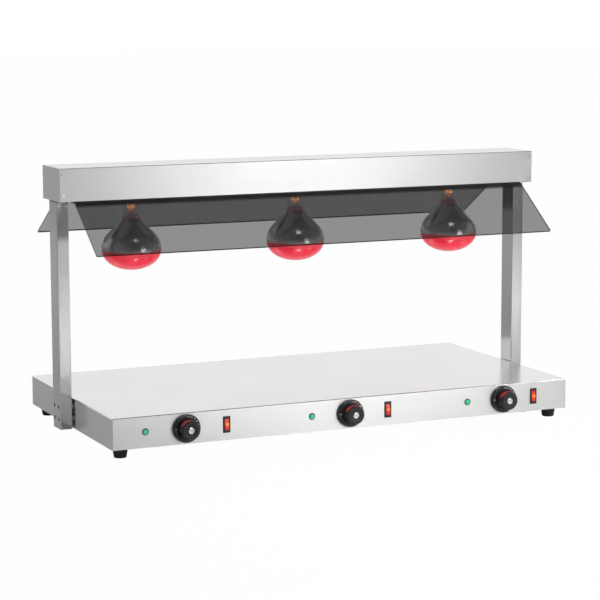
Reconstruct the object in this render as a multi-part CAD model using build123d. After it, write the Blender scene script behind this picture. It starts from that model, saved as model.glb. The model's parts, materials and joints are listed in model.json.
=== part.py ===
from build123d import *
import os
from math import cos, radians, sin, sqrt, tan

# Infrared food warming bridge: a heated steel base with three controlled zones, two posts
# and a lamp bridge with two smoked shields.
# The origin is on the floor under the middle of the base. X runs to the right along the
# control panel, Y from the panel to the back, and Z up. All sizes are in millimetres.

# Base box, folded from stainless sheet
base_width = 1045.0
base_depth = 536.0
base_height = 65.0
base_sheet = 1.2
base_bend_radius = 2.0
side_flange_width = 42.0
end_flange_width = 20.0

# Bottom cover
cover_sheet = 1.0
cover_inset = 4.0
cover_screw_count = 4
cover_screw_end_margin = 100.0
cover_screw_inset = 14.0
vent_length = 60.0
vent_width = 5.0
vent_pitch_x = 90.0
vent_pitch_y = 18.0
vent_columns = 6
vent_rows = 5

# Feet
foot_height = 20.0
foot_top_radius = 16.0
foot_bottom_radius = 12.6
foot_edge_radius = 1.5
foot_inset_x = 26.5
foot_inset_y = 30.0
foot_socket_radius = 6.0
foot_socket_depth = 10.0
foot_screw_radius = 2.5

# Heated zones under the top plate
heater_radius = 3.25
heater_runs = 4
heater_zone_margin = 54.0
heater_back_margin = 66.0
heater_front_margin = 20.0
heater_turn_front_margin = 60.0
heater_turn_share = 0.45
clamp_bar_width = 20.0
clamp_bar_sheet = 1.5
clamp_bar_overhang = 15.0
clamp_bar_inset = 110.0
stud_radius = 2.5
stud_overrun = 1.5
heater_nut_across_flats = 8.0
heater_nut_height = 4.0
contact_gap = 0.1

# Insulation
insulation_thickness = 18.0
insulation_gap = 1.5
insulation_hole_clearance = 1.5
tray_sheet = 1.0
tray_rim_height = 15.0
tray_side_gap = 38.0
tray_back_gap = 18.0
control_bay_gap = 34.8

# Controls on the panel
control_rise = 33.5
knob_edge_distance = 157.0
pilot_offset = 87.0
switch_offset = {"left": 88.0, "middle": 88.0, "right": 75.0}

# Thermostats
thermostat_width = 50.0
thermostat_depth = 40.0
thermostat_height = 38.0
thermostat_screw_spacing = 28.0
thermostat_screw_radius = 2.0
thermostat_screw_length = 9.0
thermostat_tab_size = (6.3, 8.0, 0.8)
thermostat_tab_spacing = 12.0
spindle_radius = 3.0
spindle_flat_depth = 1.5
spindle_hole_radius = 5.0
spindle_depth_in_body = 22.0
spindle_depth_in_knob = 15.0
sensor_radius = 3.0
sensor_length = 80.0
sensor_gap = 6.0
capillary_radius = 1.0
capillary_bend = 6.0
capillary_bay_gap = 14.0

# Knobs
knob_gap = 2.8
knob_length = 29.0
knob_skirt_radius = 29.0
knob_skirt_thickness = 5.0
knob_skirt_bevel = 1.2
knob_grip_radius = 19.3
knob_grip_flare = 1.2
knob_front_bevel = 2.0
knob_wall = 2.5
knob_hub_radius = 8.0
knob_hollow_depth = 17.0
knob_ring_radius = 9.5
knob_ring_depth = 3.0
knob_cap_radius = 6.35
knob_cap_length = 5.6
knob_cap_recess = 0.4
knob_cap_slot_width = 1.2
knob_cap_slot_depth = 1.0

# Rocker switches
switch_bezel_side_lip = 1.45
switch_bezel_end_lip = 2.1
switch_bezel_thickness = 2.0
switch_bezel_bevel = 0.6
switch_side_wall = 1.6
switch_end_wall = 2.66
switch_body_depth = 22.0
switch_cavity_depth = 8.0
rocker_width = 8.8
rocker_half_height = 11.4
rocker_tilt = 8.0
rocker_ridge = 5.2
rocker_back = 2.5
rocker_pivot_depth = 3.0
rocker_pin_radius = 1.2
rocker_pin_length = 0.7
rocker_side_gap = 0.3
rocker_end_gap = 0.35

# Pilot lights
pilot_ring_lip = 1.4
pilot_ring_thickness = 1.5
pilot_body_radius = 5.8
pilot_body_wall = 1.1
pilot_body_length = 24.0
pilot_floor = 2.0
pilot_lens_lip = 0.7
pilot_plug_depth = 6.0
pilot_dome_height = 2.0

# Terminal block, cable gland and wiring
terminal_width = 24.0
terminal_length = 66.0
terminal_height = 20.0
terminal_count = 5
terminal_well_radius = 4.0
terminal_well_depth = 9.0
terminal_back_gap = 92.0
gland_edge_distance = 82.0
gland_rise = 20.0
gland_thread_radius = 10.0
gland_bore_radius = 5.0
gland_shoulder = 2.0
gland_hex_length = 6.0
gland_dome_shoulder = 1.5
gland_dome_length = 20.0
gland_dome_bevel = 3.5
gland_nut_shoulder = 3.0
gland_nut_height = 5.0
base_loom_radius = 4.0
bridge_loom_radius = 3.5
loom_bend = 8.0
loom_seat_gap = 0.8
loom_spacing = 11.0
loom_behind_thermostats = 15.0
loom_left_margin = 80.0
bridge_loom_y = 36.0
bridge_loom_rise = 12.0
cable_hole_radius = 5.0

# Posts
post_width = 26.0
post_depth = 48.0
post_wall = 1.5
post_corner_radius = 1.6
post_gap = 3.0
post_screw_spacing_y = 28.0
post_screw_spacing_z = 26.5
post_screw_radius = 2.5
post_screw_overrun = 2.0
post_spacer_radius = 5.5
post_nut_across_flats = 8.0
post_nut_height = 4.0
access_hole_radius = 4.0

# Brackets in the post tops
bracket_plate = 4.0
bracket_plate_inset = 0.6
bracket_wall = 1.5
bracket_length = 40.0
bracket_bolt_spacing = 24.0
bracket_bolt_radius = 2.5
bracket_bolt_length = 8.0
post_top_screw_inset = 5.2
post_top_screw_drop = 6.5
post_top_screw_radius = 1.75
post_top_screw_length = 6.0

# Bridge
bridge_clearance = 413.0
bridge_height = 69.5
bridge_depth = 115.5
bridge_overhang = 2.0
bridge_sheet = 1.2
bridge_bend_radius = 1.5
bridge_slot_gap = 3.5
end_cap_sheet = 1.2
end_cap_flange = 16.0
end_cap_flange_gap = 2.0
end_screw_inset_x = 6.0
end_screw_inset_z = 13.75
end_screw_radius = 1.75
end_screw_length = 6.0
bottom_plate_sheet = 1.5
bottom_plate_gap = 0.3
collar_radius = 4.0
collar_height = 4.0

# Shields, bent from acrylic sheet
shield_sheet = 3.0
shield_proud = 3.0
shield_length = 165.0
shield_fall = {"front": 35.3, "back": 31.3}
shield_bend_radius = 4.0
shield_corner_radius = 8.0
shield_post_gap = 2.0
shield_screw_count = 5
shield_screw_end_margin = 85.0
shield_screw_radius = 2.0
shield_screw_inset = 18.0

# Lamps
lamp_edge_distance = 147.5
lamp_y = 8.0
lamp_radius = 62.5
lamp_face_height = 42.0
lamp_rim_height = 22.0
lamp_rim_bend = 50.0
lamp_bell_height = 45.5
lamp_neck_bend = 38.0
lamp_neck_radius = 17.0
lamp_neck_length = 39.5
lamp_shoulder_height = 8.0
lamp_stem_radius = 12.0
lamp_stem_length = 4.0
lamp_glass = 1.0
lamp_cap_radius = 13.1
lamp_cap_length = 26.0
lamp_cap_skirt = 5.0
lamp_contact_radius = 5.0
lamp_contact_height = 3.0
lamp_contact_gap = 0.3
lamp_hole_clearance = 4.0

# Lamp holders
socket_radius = 22.0
socket_lift = 1.3
socket_bore_clearance = 0.35
socket_bore_depth = 28.0
socket_height = 45.0
socket_bevel = 1.5
socket_bracket_sheet = 1.5
socket_bracket_width = 24.0
socket_bracket_gap = 2.0
socket_bracket_foot = 18.0

# Fits and fasteners
thread_clearance = 0.05
running_clearance = 0.05
slip_clearance = 0.2
hole_clearance = 0.3
head_radius_ratio = 1.9
head_height_ratio = 1.0
head_round_share = 0.45
cross_slot_length_share = 1.2
cross_slot_width_share = 0.22
cross_slot_depth_share = 0.5

# Places that follow from the sizes above
zones = ("left", "middle", "right")
sides = {"left": -1, "right": 1}
housing_bottom = foot_height + cover_sheet
plate_top = foot_height + base_height
plate_under = plate_top - base_sheet
panel_front = -base_depth / 2
panel_inside = panel_front + base_sheet
back_inside = base_depth / 2 - base_sheet
control_z = foot_height + control_rise
knob_pitch = base_width / 2 - knob_edge_distance
knob_x = dict(zip(zones, (-knob_pitch, 0.0, knob_pitch)))
heater_pitch = (base_width - 2 * base_sheet) / len(zones)
heater_x = dict(zip(zones, (-heater_pitch, 0.0, heater_pitch)))
thermostat_back = panel_inside + thermostat_depth
tray_front = thermostat_back + control_bay_gap
tray_back = base_depth / 2 - tray_back_gap
tray_half_width = base_width / 2 - tray_side_gap
heater_z = plate_under - contact_gap - heater_radius
clamp_bar_top = heater_z - heater_radius - contact_gap
clamp_bar_bottom = clamp_bar_top - clamp_bar_sheet
clamp_bar_y = (tray_front + clamp_bar_inset, tray_back - clamp_bar_inset)
insulation_top = clamp_bar_bottom - heater_nut_height - insulation_gap
tray_floor = insulation_top - insulation_thickness
tray_under = tray_floor - tray_sheet
post_inner = base_width / 2 + post_gap
post_outer = post_inner + post_width
post_x = (post_inner + post_outer) / 2
bridge_bottom = plate_top + bridge_clearance
bridge_top = bridge_bottom + bridge_height
bridge_half_width = post_outer + bridge_overhang
bottom_plate_under = bridge_bottom + bridge_sheet
bottom_plate_top = bottom_plate_under + bottom_plate_sheet
post_top = bottom_plate_under - bracket_plate
post_top_screw_spacing = post_width - 2 * post_top_screw_inset
bracket_plate_width = post_width - 2 * bracket_plate_inset
bracket_plate_depth = post_depth - 2 * bracket_plate_inset
bridge_slot_width = bracket_plate_depth + 2 * bridge_slot_gap
shield_half_width = post_inner - shield_post_gap
lamp_pitch = post_inner - lamp_edge_distance
lamp_x = dict(zip(zones, (-lamp_pitch, 0.0, lamp_pitch)))
socket_bottom = bottom_plate_top + socket_lift
socket_top = socket_bottom + socket_height
lamp_knuckle = lamp_face_height + lamp_rim_height
lamp_neck_start = lamp_knuckle + lamp_bell_height
lamp_neck_end = lamp_neck_start + lamp_neck_length
lamp_shoulder_end = lamp_neck_end + lamp_shoulder_height
lamp_cap_bottom = lamp_shoulder_end + slip_clearance
lamp_length = lamp_cap_bottom + lamp_cap_length + lamp_contact_height
lamp_bottom = socket_bottom + socket_bore_depth - lamp_contact_gap - lamp_length
lamp_hole_radius = lamp_neck_radius + lamp_hole_clearance
rocker_end_depth = rocker_ridge - rocker_half_height * tan(radians(rocker_tilt))
rocker_end_radius = sqrt(rocker_half_height**2 + rocker_end_depth**2)
switch_cavity_width = rocker_width + 2 * rocker_side_gap
switch_cavity_height = 2 * (rocker_end_radius + rocker_end_gap)
switch_body_width = switch_cavity_width + 2 * switch_side_wall
switch_body_height = switch_cavity_height + 2 * switch_end_wall
switch_bezel_width = switch_body_width + 2 * switch_bezel_side_lip
switch_bezel_height = switch_body_height + 2 * switch_bezel_end_lip
rocker_pivot_y = panel_front - switch_bezel_thickness + rocker_pivot_depth
pilot_ring_radius = pilot_body_radius + pilot_ring_lip
pilot_bore_radius = pilot_body_radius - pilot_body_wall
pilot_plug_radius = pilot_bore_radius - slip_clearance
pilot_lens_radius = pilot_plug_radius + pilot_lens_lip
terminal_x = base_width / 2 - side_flange_width / 2
terminal_y = base_depth / 2 - terminal_back_gap - terminal_length / 2
terminal_bottom = housing_bottom + base_sheet
gland_x = base_width / 2 - gland_edge_distance
gland_z = housing_bottom + gland_rise
foot_places = {
    "front_left": (-1, -1),
    "front_right": (1, -1),
    "back_left": (-1, 1),
    "back_right": (1, 1),
}

# Directions that a piece built along local +Z can be turned to
upward = Rot(0, 0, 0)
to_front = Rot(90, 0, 0)
to_back = Rot(-90, 0, 0)
to_left = Rot(0, -90, 0)
to_right = Rot(0, 90, 0)


# Shared shapes

def box_between(x, y, z):
    """Box between a low and a high value along each axis."""
    spans = (x, y, z)
    size = [high - low for low, high in spans]
    middle = [(high + low) / 2 for low, high in spans]
    return Pos(*middle) * Box(*size)


def rod(radius, length):
    """Cylinder that starts at the origin and runs along +Z."""
    return Cylinder(radius, length, align=(Align.CENTER, Align.CENTER, Align.MIN))


def through_rod(radius, reach):
    """Cylinder that runs along Z as far on both sides of the origin."""
    return Cylinder(radius, 2 * reach)


def spread(count, half_span):
    """Evenly spaced places from minus to plus half_span."""
    step = 2 * half_span / (count - 1)
    return [-half_span + step * index for index in range(count)]


def group(pieces):
    """Separate solids that share one node."""
    return Compound([solid for piece in pieces for solid in piece.solids()])


def screw(radius, length):
    """Cross-slotted pan head screw: head underside at the origin, tip along +Z."""
    head_radius = head_radius_ratio * radius
    head_height = head_height_ratio * radius
    head = Pos(0, 0, -head_height) * rod(head_radius, head_height)
    head = fillet(head.edges().group_by(Axis.Z)[0], head_height * head_round_share)
    slot_width = cross_slot_width_share * head_radius
    slot_depth = cross_slot_depth_share * head_height
    slot_length = cross_slot_length_share * head_radius
    slot = Pos(0, 0, -head_height) * Box(slot_length, slot_width, 2 * slot_depth)
    cross = slot + Rot(0, 0, 90) * slot
    return head - cross + rod(radius, length)


def hex_prism(across_flats, height):
    corner_radius = across_flats / 2 / cos(radians(30))
    return extrude(RegularPolygon(corner_radius, 6), height)


def hex_nut(across_flats, height, bore_radius):
    return hex_prism(across_flats, height) - rod(bore_radius, height)


def tube_along(points, radius, bend):
    """Round bar along straight runs joined by tangent arcs."""
    path = FilletPolyline(*points, radius=bend)
    start = Plane(path @ 0, z_dir=path % 0)
    return sweep(start * Circle(radius), path=path)


# Base

def cover_screw_places():
    xs = spread(cover_screw_count, base_width / 2 - cover_screw_end_margin)
    y = base_depth / 2 - cover_screw_inset
    return [(x, side * y) for side in (-1, 1) for x in xs]


def foot_centre(corner):
    sign_x, sign_y = foot_places[corner]
    return sign_x * (base_width / 2 - foot_inset_x), sign_y * (base_depth / 2 - foot_inset_y)


def post_screw_places():
    """Y and Z of the four screws that hold each post to the base."""
    half_y = post_screw_spacing_y / 2
    half_z = post_screw_spacing_z / 2
    return [(y, control_z + z) for y in (-half_y, half_y) for z in (-half_z, half_z)]


def panel_cuts():
    """Holes in the control panel, set out from the same places as the controls."""
    reach = 2 * base_sheet
    cuts = []
    for zone in zones:
        centre = Pos(knob_x[zone], panel_front, control_z)
        cuts.append(centre * to_back * through_rod(spindle_hole_radius, reach))
        for side in (-1, 1):
            shift = Pos(side * thermostat_screw_spacing / 2, 0, 0)
            hole = through_rod(thermostat_screw_radius + hole_clearance, reach)
            cuts.append(centre * shift * to_back * hole)
        pilot = Pos(knob_x[zone] - pilot_offset, panel_front, control_z)
        cuts.append(pilot * to_back * through_rod(pilot_body_radius + slip_clearance, reach))
        switch = Pos(knob_x[zone] + switch_offset[zone], panel_front, control_z)
        window_width = switch_body_width + 2 * slip_clearance
        window_height = switch_body_height + 2 * slip_clearance
        cuts.append(switch * Box(window_width, 2 * reach, window_height))
    return cuts


def base_housing():
    half_width = base_width / 2
    half_depth = base_depth / 2
    outer = box_between(
        (-half_width, half_width), (-half_depth, half_depth), (housing_bottom, plate_top)
    )
    outer = fillet(outer.edges() - outer.edges().group_by(Axis.Z)[0], base_bend_radius)
    inner_width = half_width - base_sheet
    inner_depth = half_depth - base_sheet
    inner = box_between(
        (-inner_width, inner_width),
        (-inner_depth, inner_depth),
        (housing_bottom + base_sheet, plate_under),
    )
    inner_edges = inner.edges() - inner.edges().group_by(Axis.Z)[0]
    inner = fillet(inner_edges, base_bend_radius - base_sheet)
    mouth_width = half_width - side_flange_width
    mouth_depth = half_depth - end_flange_width
    mouth = box_between(
        (-mouth_width, mouth_width),
        (-mouth_depth, mouth_depth),
        (housing_bottom - base_sheet, housing_bottom + 2 * base_sheet),
    )
    cuts = panel_cuts()
    reach = 2 * base_sheet
    for side in (-1, 1):
        for y, z in post_screw_places():
            hole = through_rod(post_screw_radius + hole_clearance, reach)
            cuts.append(Pos(side * half_width, y, z) * to_right * hole)
    cuts.append(Pos(half_width, 0, control_z) * to_right * through_rod(cable_hole_radius, reach))
    gland_hole = through_rod(gland_thread_radius + slip_clearance, reach)
    cuts.append(Pos(gland_x, half_depth, gland_z) * to_back * gland_hole)
    for x, y in cover_screw_places():
        hole = through_rod(foot_screw_radius + thread_clearance, reach)
        cuts.append(Pos(x, y, housing_bottom) * hole)
    for corner in foot_places:
        hole = through_rod(foot_screw_radius + thread_clearance, reach)
        cuts.append(Pos(*foot_centre(corner), housing_bottom) * hole)
    return outer - inner - mouth - cuts


def base_bottom_cover():
    half_width = base_width / 2 - cover_inset
    half_depth = base_depth / 2 - cover_inset
    plate = box_between(
        (-half_width, half_width), (-half_depth, half_depth), (foot_height, housing_bottom)
    )
    reach = 2 * cover_sheet
    cuts = []
    for corner in foot_places:
        hole = through_rod(foot_screw_radius + hole_clearance, reach)
        cuts.append(Pos(*foot_centre(corner), foot_height) * hole)
    for x, y in cover_screw_places():
        hole = through_rod(foot_screw_radius + hole_clearance, reach)
        cuts.append(Pos(x, y, foot_height) * hole)
    vent = extrude(SlotOverall(vent_length, vent_width), reach, both=True)
    for x in spread(vent_columns, vent_pitch_x * (vent_columns - 1) / 2):
        for y in spread(vent_rows, vent_pitch_y * (vent_rows - 1) / 2):
            cuts.append(Pos(x, y, foot_height) * vent)
    return plate - cuts


def cover_screws():
    length = cover_sheet + 2 * base_sheet
    pieces = [Pos(x, y, foot_height) * screw(foot_screw_radius, length) for x, y in cover_screw_places()]
    return group(pieces)


def foot(corner):
    body = Cone(
        foot_bottom_radius, foot_top_radius, foot_height,
        align=(Align.CENTER, Align.CENTER, Align.MIN),
    )
    body = fillet(body.edges().group_by(Axis.Z)[0], foot_edge_radius)
    body -= rod(foot_socket_radius, foot_socket_depth)
    body -= rod(foot_screw_radius + hole_clearance, foot_height)
    return Pos(*foot_centre(corner), 0) * body


def foot_screws():
    length = foot_height - foot_socket_depth + cover_sheet + 2 * base_sheet
    pieces = [
        Pos(*foot_centre(corner), foot_socket_depth) * screw(foot_screw_radius, length)
        for corner in foot_places
    ]
    return group(pieces)


# Heating

def heater_run_xs():
    return spread(heater_runs, heater_pitch / 2 - heater_zone_margin)


def stud_offset():
    """Distance from a zone's middle to the line midway between its two outer runs."""
    runs = heater_run_xs()
    return (runs[-1] + runs[-2]) / 2


def stud_places():
    """X and Y of the weld studs, between the outer heater runs at both sides of each zone."""
    xs = [heater_x[zone] + side * stud_offset() for zone in zones for side in (-1, 1)]
    return [(x, y) for x in xs for y in clamp_bar_y]


def heating_element(zone):
    front = tray_front + heater_front_margin
    turn = tray_front + heater_turn_front_margin
    back = tray_back - heater_back_margin
    runs = [heater_x[zone] + x for x in heater_run_xs()]
    points = []
    for index, x in enumerate(runs):
        near = front if index in (0, heater_runs - 1) else turn
        ends = (near, back) if index % 2 == 0 else (back, near)
        points += [(x, y, heater_z) for y in ends]
    bend = heater_turn_share * (runs[1] - runs[0])
    return tube_along(points, heater_radius, bend)


def heating_elements():
    return group([heating_element(zone) for zone in zones])


def heater_clamp_bars():
    half_length = heater_run_xs()[-1] + clamp_bar_overhang
    pieces = []
    for zone in zones:
        for y in clamp_bar_y:
            bar = box_between(
                (heater_x[zone] - half_length, heater_x[zone] + half_length),
                (y - clamp_bar_width / 2, y + clamp_bar_width / 2),
                (clamp_bar_bottom, clamp_bar_top),
            )
            pieces.append(bar)
    holes = [
        Pos(x, y, clamp_bar_top) * through_rod(stud_radius + hole_clearance, 2 * clamp_bar_sheet)
        for x, y in stud_places()
    ]
    return group([bar - holes for bar in pieces])


def stud_end():
    return tray_under - heater_nut_height - stud_overrun


def heater_studs():
    length = plate_under - stud_end()
    return group([Pos(x, y, stud_end()) * rod(stud_radius, length) for x, y in stud_places()])


def heater_nuts():
    """One nut under each clamp bar and one under the insulation tray, on every stud."""
    nut = hex_nut(heater_nut_across_flats, heater_nut_height, stud_radius + thread_clearance)
    levels = (clamp_bar_bottom - heater_nut_height, tray_under - heater_nut_height)
    return group([Pos(x, y, z) * nut for x, y in stud_places() for z in levels])


def insulation_tray():
    outer = box_between(
        (-tray_half_width, tray_half_width),
        (tray_front, tray_back),
        (tray_under, tray_under + tray_rim_height),
    )
    inner = box_between(
        (-tray_half_width + tray_sheet, tray_half_width - tray_sheet),
        (tray_front + tray_sheet, tray_back - tray_sheet),
        (tray_floor, tray_under + 2 * tray_rim_height),
    )
    holes = [
        Pos(x, y, tray_under) * through_rod(stud_radius + hole_clearance, 2 * tray_sheet)
        for x, y in stud_places()
    ]
    return outer - inner - holes


def insulation_board():
    edge = tray_sheet + slip_clearance
    board = box_between(
        (-tray_half_width + edge, tray_half_width - edge),
        (tray_front + edge, tray_back - edge),
        (tray_floor, insulation_top),
    )
    hole = through_rod(stud_radius + insulation_hole_clearance, 2 * insulation_thickness)
    return board - [Pos(x, y, insulation_top) * hole for x, y in stud_places()]


# Thermostats and knobs

def spindle_section(clearance):
    """Round spindle with one flat, as a face."""
    radius = spindle_radius + clearance
    flat = spindle_radius - spindle_flat_depth + clearance
    cut = Pos(0, flat + radius) * Rectangle(4 * radius, 2 * radius)
    return Circle(radius) - cut


def thermostat_body(zone):
    body = box_between(
        (-thermostat_width / 2, thermostat_width / 2),
        (panel_inside, thermostat_back),
        (-thermostat_height / 2, thermostat_height / 2),
    )
    tab_width, tab_length, tab_thickness = thermostat_tab_size
    for side in (-1, 1):
        for level in (-1, 1):
            x = side * thermostat_tab_spacing
            z = level * thermostat_tab_spacing
            tab = Box(tab_width, 2 * tab_length, tab_thickness)
            body += Pos(x, thermostat_back, z) * tab
    bore_depth = spindle_depth_in_body + slip_clearance
    cuts = [Pos(0, panel_inside, 0) * to_back * rod(spindle_radius + running_clearance, bore_depth)]
    screw_hole = rod(thermostat_screw_radius + thread_clearance, thermostat_screw_length)
    for side in (-1, 1):
        place = Pos(side * thermostat_screw_spacing / 2, panel_inside, 0)
        cuts.append(place * to_back * screw_hole)
    return Pos(knob_x[zone], 0, control_z) * (body - cuts)


def thermostat_bodies():
    return group([thermostat_body(zone) for zone in zones])


def thermostat_screws():
    pieces = []
    for zone in zones:
        for side in (-1, 1):
            x = knob_x[zone] + side * thermostat_screw_spacing / 2
            place = Pos(x, panel_front, control_z) * to_back
            pieces.append(place * screw(thermostat_screw_radius, thermostat_screw_length))
    return group(pieces)


def thermostat_sensor(zone):
    """Sensor bulb under the hot plate and the capillary that leads to the thermostat's back."""
    x = heater_x[zone] + stud_offset()
    z = plate_under - contact_gap - sensor_radius
    bulb_front = clamp_bar_y[0] - clamp_bar_width / 2 - sensor_gap - sensor_length
    bulb = Pos(x, bulb_front, z) * to_back * rod(sensor_radius, sensor_length)
    turn_y = thermostat_back + capillary_bay_gap
    entry_z = control_z + thermostat_tab_spacing / 2
    points = [
        (x, bulb_front + sensor_radius, z),
        (x, turn_y, z),
        (knob_x[zone], turn_y, z),
        (knob_x[zone], turn_y, entry_z),
        (knob_x[zone], thermostat_back, entry_z),
    ]
    return bulb + tube_along(points, capillary_radius, capillary_bend)


def thermostat_sensors():
    return group([thermostat_sensor(zone) for zone in zones])


def on_panel(zone, height):
    """Local frame of a knob: +Z points out of the panel."""
    return Pos(knob_x[zone], panel_front - height, control_z) * to_front


def knob(zone):
    flare_radius = knob_grip_radius + knob_grip_flare
    outline = Polyline(
        (0, 0),
        (knob_skirt_radius, 0),
        (knob_skirt_radius, knob_skirt_thickness - knob_skirt_bevel),
        (knob_skirt_radius - knob_skirt_bevel, knob_skirt_thickness),
        (flare_radius, knob_skirt_thickness),
        (knob_grip_radius, knob_length - knob_front_bevel),
        (knob_grip_radius - knob_front_bevel, knob_length),
        (0, knob_length),
        close=True,
    )
    body = revolve(Plane.XZ * make_face(outline), Axis.Z)
    hollow = rod(knob_grip_radius - knob_wall, knob_hollow_depth) - rod(knob_hub_radius, knob_hollow_depth)
    ring = Pos(0, 0, knob_length - knob_ring_depth) * rod(knob_ring_radius, knob_ring_depth)
    seat_depth = knob_cap_length + knob_cap_recess
    seat = Pos(0, 0, knob_length - seat_depth) * rod(knob_cap_radius + slip_clearance, seat_depth)
    bore = extrude(spindle_section(running_clearance), spindle_depth_in_knob + slip_clearance)
    return on_panel(zone, knob_gap) * (body - hollow - ring - seat - bore)


def knob_cap(zone):
    start = knob_length - knob_cap_length - knob_cap_recess
    cap = Pos(0, 0, start) * rod(knob_cap_radius, knob_cap_length)
    slot = Box(3 * knob_cap_radius, knob_cap_slot_width, 2 * knob_cap_slot_depth)
    cap -= Pos(0, 0, start + knob_cap_length) * slot
    return on_panel(zone, knob_gap) * cap


def spindle(zone):
    behind = base_sheet + spindle_depth_in_body
    ahead = knob_gap + spindle_depth_in_knob
    shaft = Pos(0, 0, -behind) * rod(spindle_radius, behind)
    shaft += extrude(spindle_section(0), ahead)
    return on_panel(zone, 0) * shaft


# Rocker switches

def switch_frame(zone):
    """Plane of a switch's side view: local X points out of the panel and local Y up."""
    x = knob_x[zone] + switch_offset[zone]
    return Plane((x, rocker_pivot_y, control_z), x_dir=(0, -1, 0), z_dir=(-1, 0, 0))


def switch_housing(zone):
    x = knob_x[zone] + switch_offset[zone]
    bezel_front = -switch_bezel_thickness
    bezel = box_between(
        (-switch_bezel_width / 2, switch_bezel_width / 2),
        (bezel_front, 0),
        (-switch_bezel_height / 2, switch_bezel_height / 2),
    )
    bezel = chamfer(bezel.edges().group_by(Axis.Y)[0], switch_bezel_bevel)
    body = box_between(
        (-switch_body_width / 2, switch_body_width / 2),
        (0, switch_body_depth),
        (-switch_body_height / 2, switch_body_height / 2),
    )
    cavity = box_between(
        (-switch_cavity_width / 2, switch_cavity_width / 2),
        (bezel_front, switch_cavity_depth),
        (-switch_cavity_height / 2, switch_cavity_height / 2),
    )
    pin_reach = rocker_width / 2 + rocker_pin_length + rocker_side_gap / 2
    pin_hole = to_right * through_rod(rocker_pin_radius + running_clearance, pin_reach)
    pin_hole = Pos(0, rocker_pivot_y - panel_front, 0) * pin_hole
    return Pos(x, panel_front, control_z) * (bezel + body - cavity - pin_hole)


def rocker(zone):
    """Rocker with its upper end pressed in, turning on two side pins."""
    back_end = sqrt(rocker_end_radius**2 - rocker_back**2)
    upper_face = Line((rocker_ridge, 0), (rocker_end_depth, rocker_half_height))
    upper_end = ThreePointArc(
        (rocker_end_depth, rocker_half_height), (0, rocker_end_radius), (-rocker_back, back_end)
    )
    back = Line((-rocker_back, back_end), (-rocker_back, -back_end))
    lower_end = ThreePointArc(
        (-rocker_back, -back_end), (0, -rocker_end_radius), (rocker_end_depth, -rocker_half_height)
    )
    lower_face = Line((rocker_end_depth, -rocker_half_height), (rocker_ridge, 0))
    side_view = make_face([upper_face, upper_end, back, lower_end, lower_face])
    body = extrude(side_view, rocker_width / 2, both=True)
    pins = through_rod(rocker_pin_radius, rocker_width / 2 + rocker_pin_length)
    return switch_frame(zone) * Rot(0, 0, rocker_tilt) * (body + pins)


# Pilot lights

def pilot_place(zone):
    return Pos(knob_x[zone] - pilot_offset, panel_front, control_z) * to_front


def pilot_body(zone):
    ring = chamfer(
        rod(pilot_ring_radius, pilot_ring_thickness).edges().group_by(Axis.Z)[-1],
        pilot_ring_thickness / 2,
    )
    barrel = Pos(0, 0, -pilot_body_length) * rod(pilot_body_radius, pilot_body_length)
    bore_length = pilot_body_length - pilot_floor + pilot_ring_thickness
    bore = Pos(0, 0, pilot_floor - pilot_body_length) * rod(pilot_bore_radius, bore_length)
    return pilot_place(zone) * (ring + barrel - bore)


def pilot_lens(zone):
    """Domed lens: a plug in the barrel and a crown that sits on the ring."""
    dome_radius = (pilot_lens_radius**2 + pilot_dome_height**2) / (2 * pilot_dome_height)
    crown_base = pilot_ring_thickness
    lean = pilot_lens_radius * cos(radians(45))
    rise = sqrt(dome_radius**2 - lean**2) - (dome_radius - pilot_dome_height)
    outline = [
        Line((0, crown_base - pilot_plug_depth), (pilot_plug_radius, crown_base - pilot_plug_depth)),
        Line((pilot_plug_radius, crown_base - pilot_plug_depth), (pilot_plug_radius, crown_base)),
        Line((pilot_plug_radius, crown_base), (pilot_lens_radius, crown_base)),
        ThreePointArc(
            (pilot_lens_radius, crown_base),
            (lean, crown_base + rise),
            (0, crown_base + pilot_dome_height),
        ),
        Line((0, crown_base + pilot_dome_height), (0, crown_base - pilot_plug_depth)),
    ]
    return pilot_place(zone) * revolve(Plane.XZ * make_face(outline), Axis.Z)


def pilot_bodies():
    return group([pilot_body(zone) for zone in zones])


def pilot_lenses():
    return group([pilot_lens(zone) for zone in zones])


# Power

def terminal_block():
    block = box_between(
        (-terminal_width / 2, terminal_width / 2),
        (-terminal_length / 2, terminal_length / 2),
        (0, terminal_height),
    )
    margin = terminal_length / (2 * terminal_count)
    cuts = []
    for y in spread(terminal_count, terminal_length / 2 - margin):
        for side in (-1, 1):
            place = Pos(side * terminal_width / 4, y, terminal_height - terminal_well_depth)
            cuts.append(place * rod(terminal_well_radius, terminal_well_depth))
    return Pos(terminal_x, terminal_y, terminal_bottom) * (block - cuts)


def gland_place(y):
    return Pos(gland_x, y, gland_z) * to_back


def cable_gland():
    inside = base_sheet + gland_nut_height + stud_overrun
    body = Pos(0, 0, -inside) * rod(gland_thread_radius, inside)
    body += hex_prism(2 * (gland_thread_radius + gland_shoulder), gland_hex_length)
    dome = rod(gland_thread_radius + gland_dome_shoulder, gland_dome_length)
    dome = chamfer(dome.edges().group_by(Axis.Z)[-1], gland_dome_bevel)
    body += Pos(0, 0, gland_hex_length) * dome
    body -= through_rod(gland_bore_radius, gland_hex_length + 2 * gland_dome_length)
    return gland_place(base_depth / 2) * body


def gland_locknut():
    across_flats = 2 * (gland_thread_radius + gland_nut_shoulder)
    nut = hex_nut(across_flats, gland_nut_height, gland_thread_radius + thread_clearance)
    return gland_place(back_inside - gland_nut_height) * nut


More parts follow.
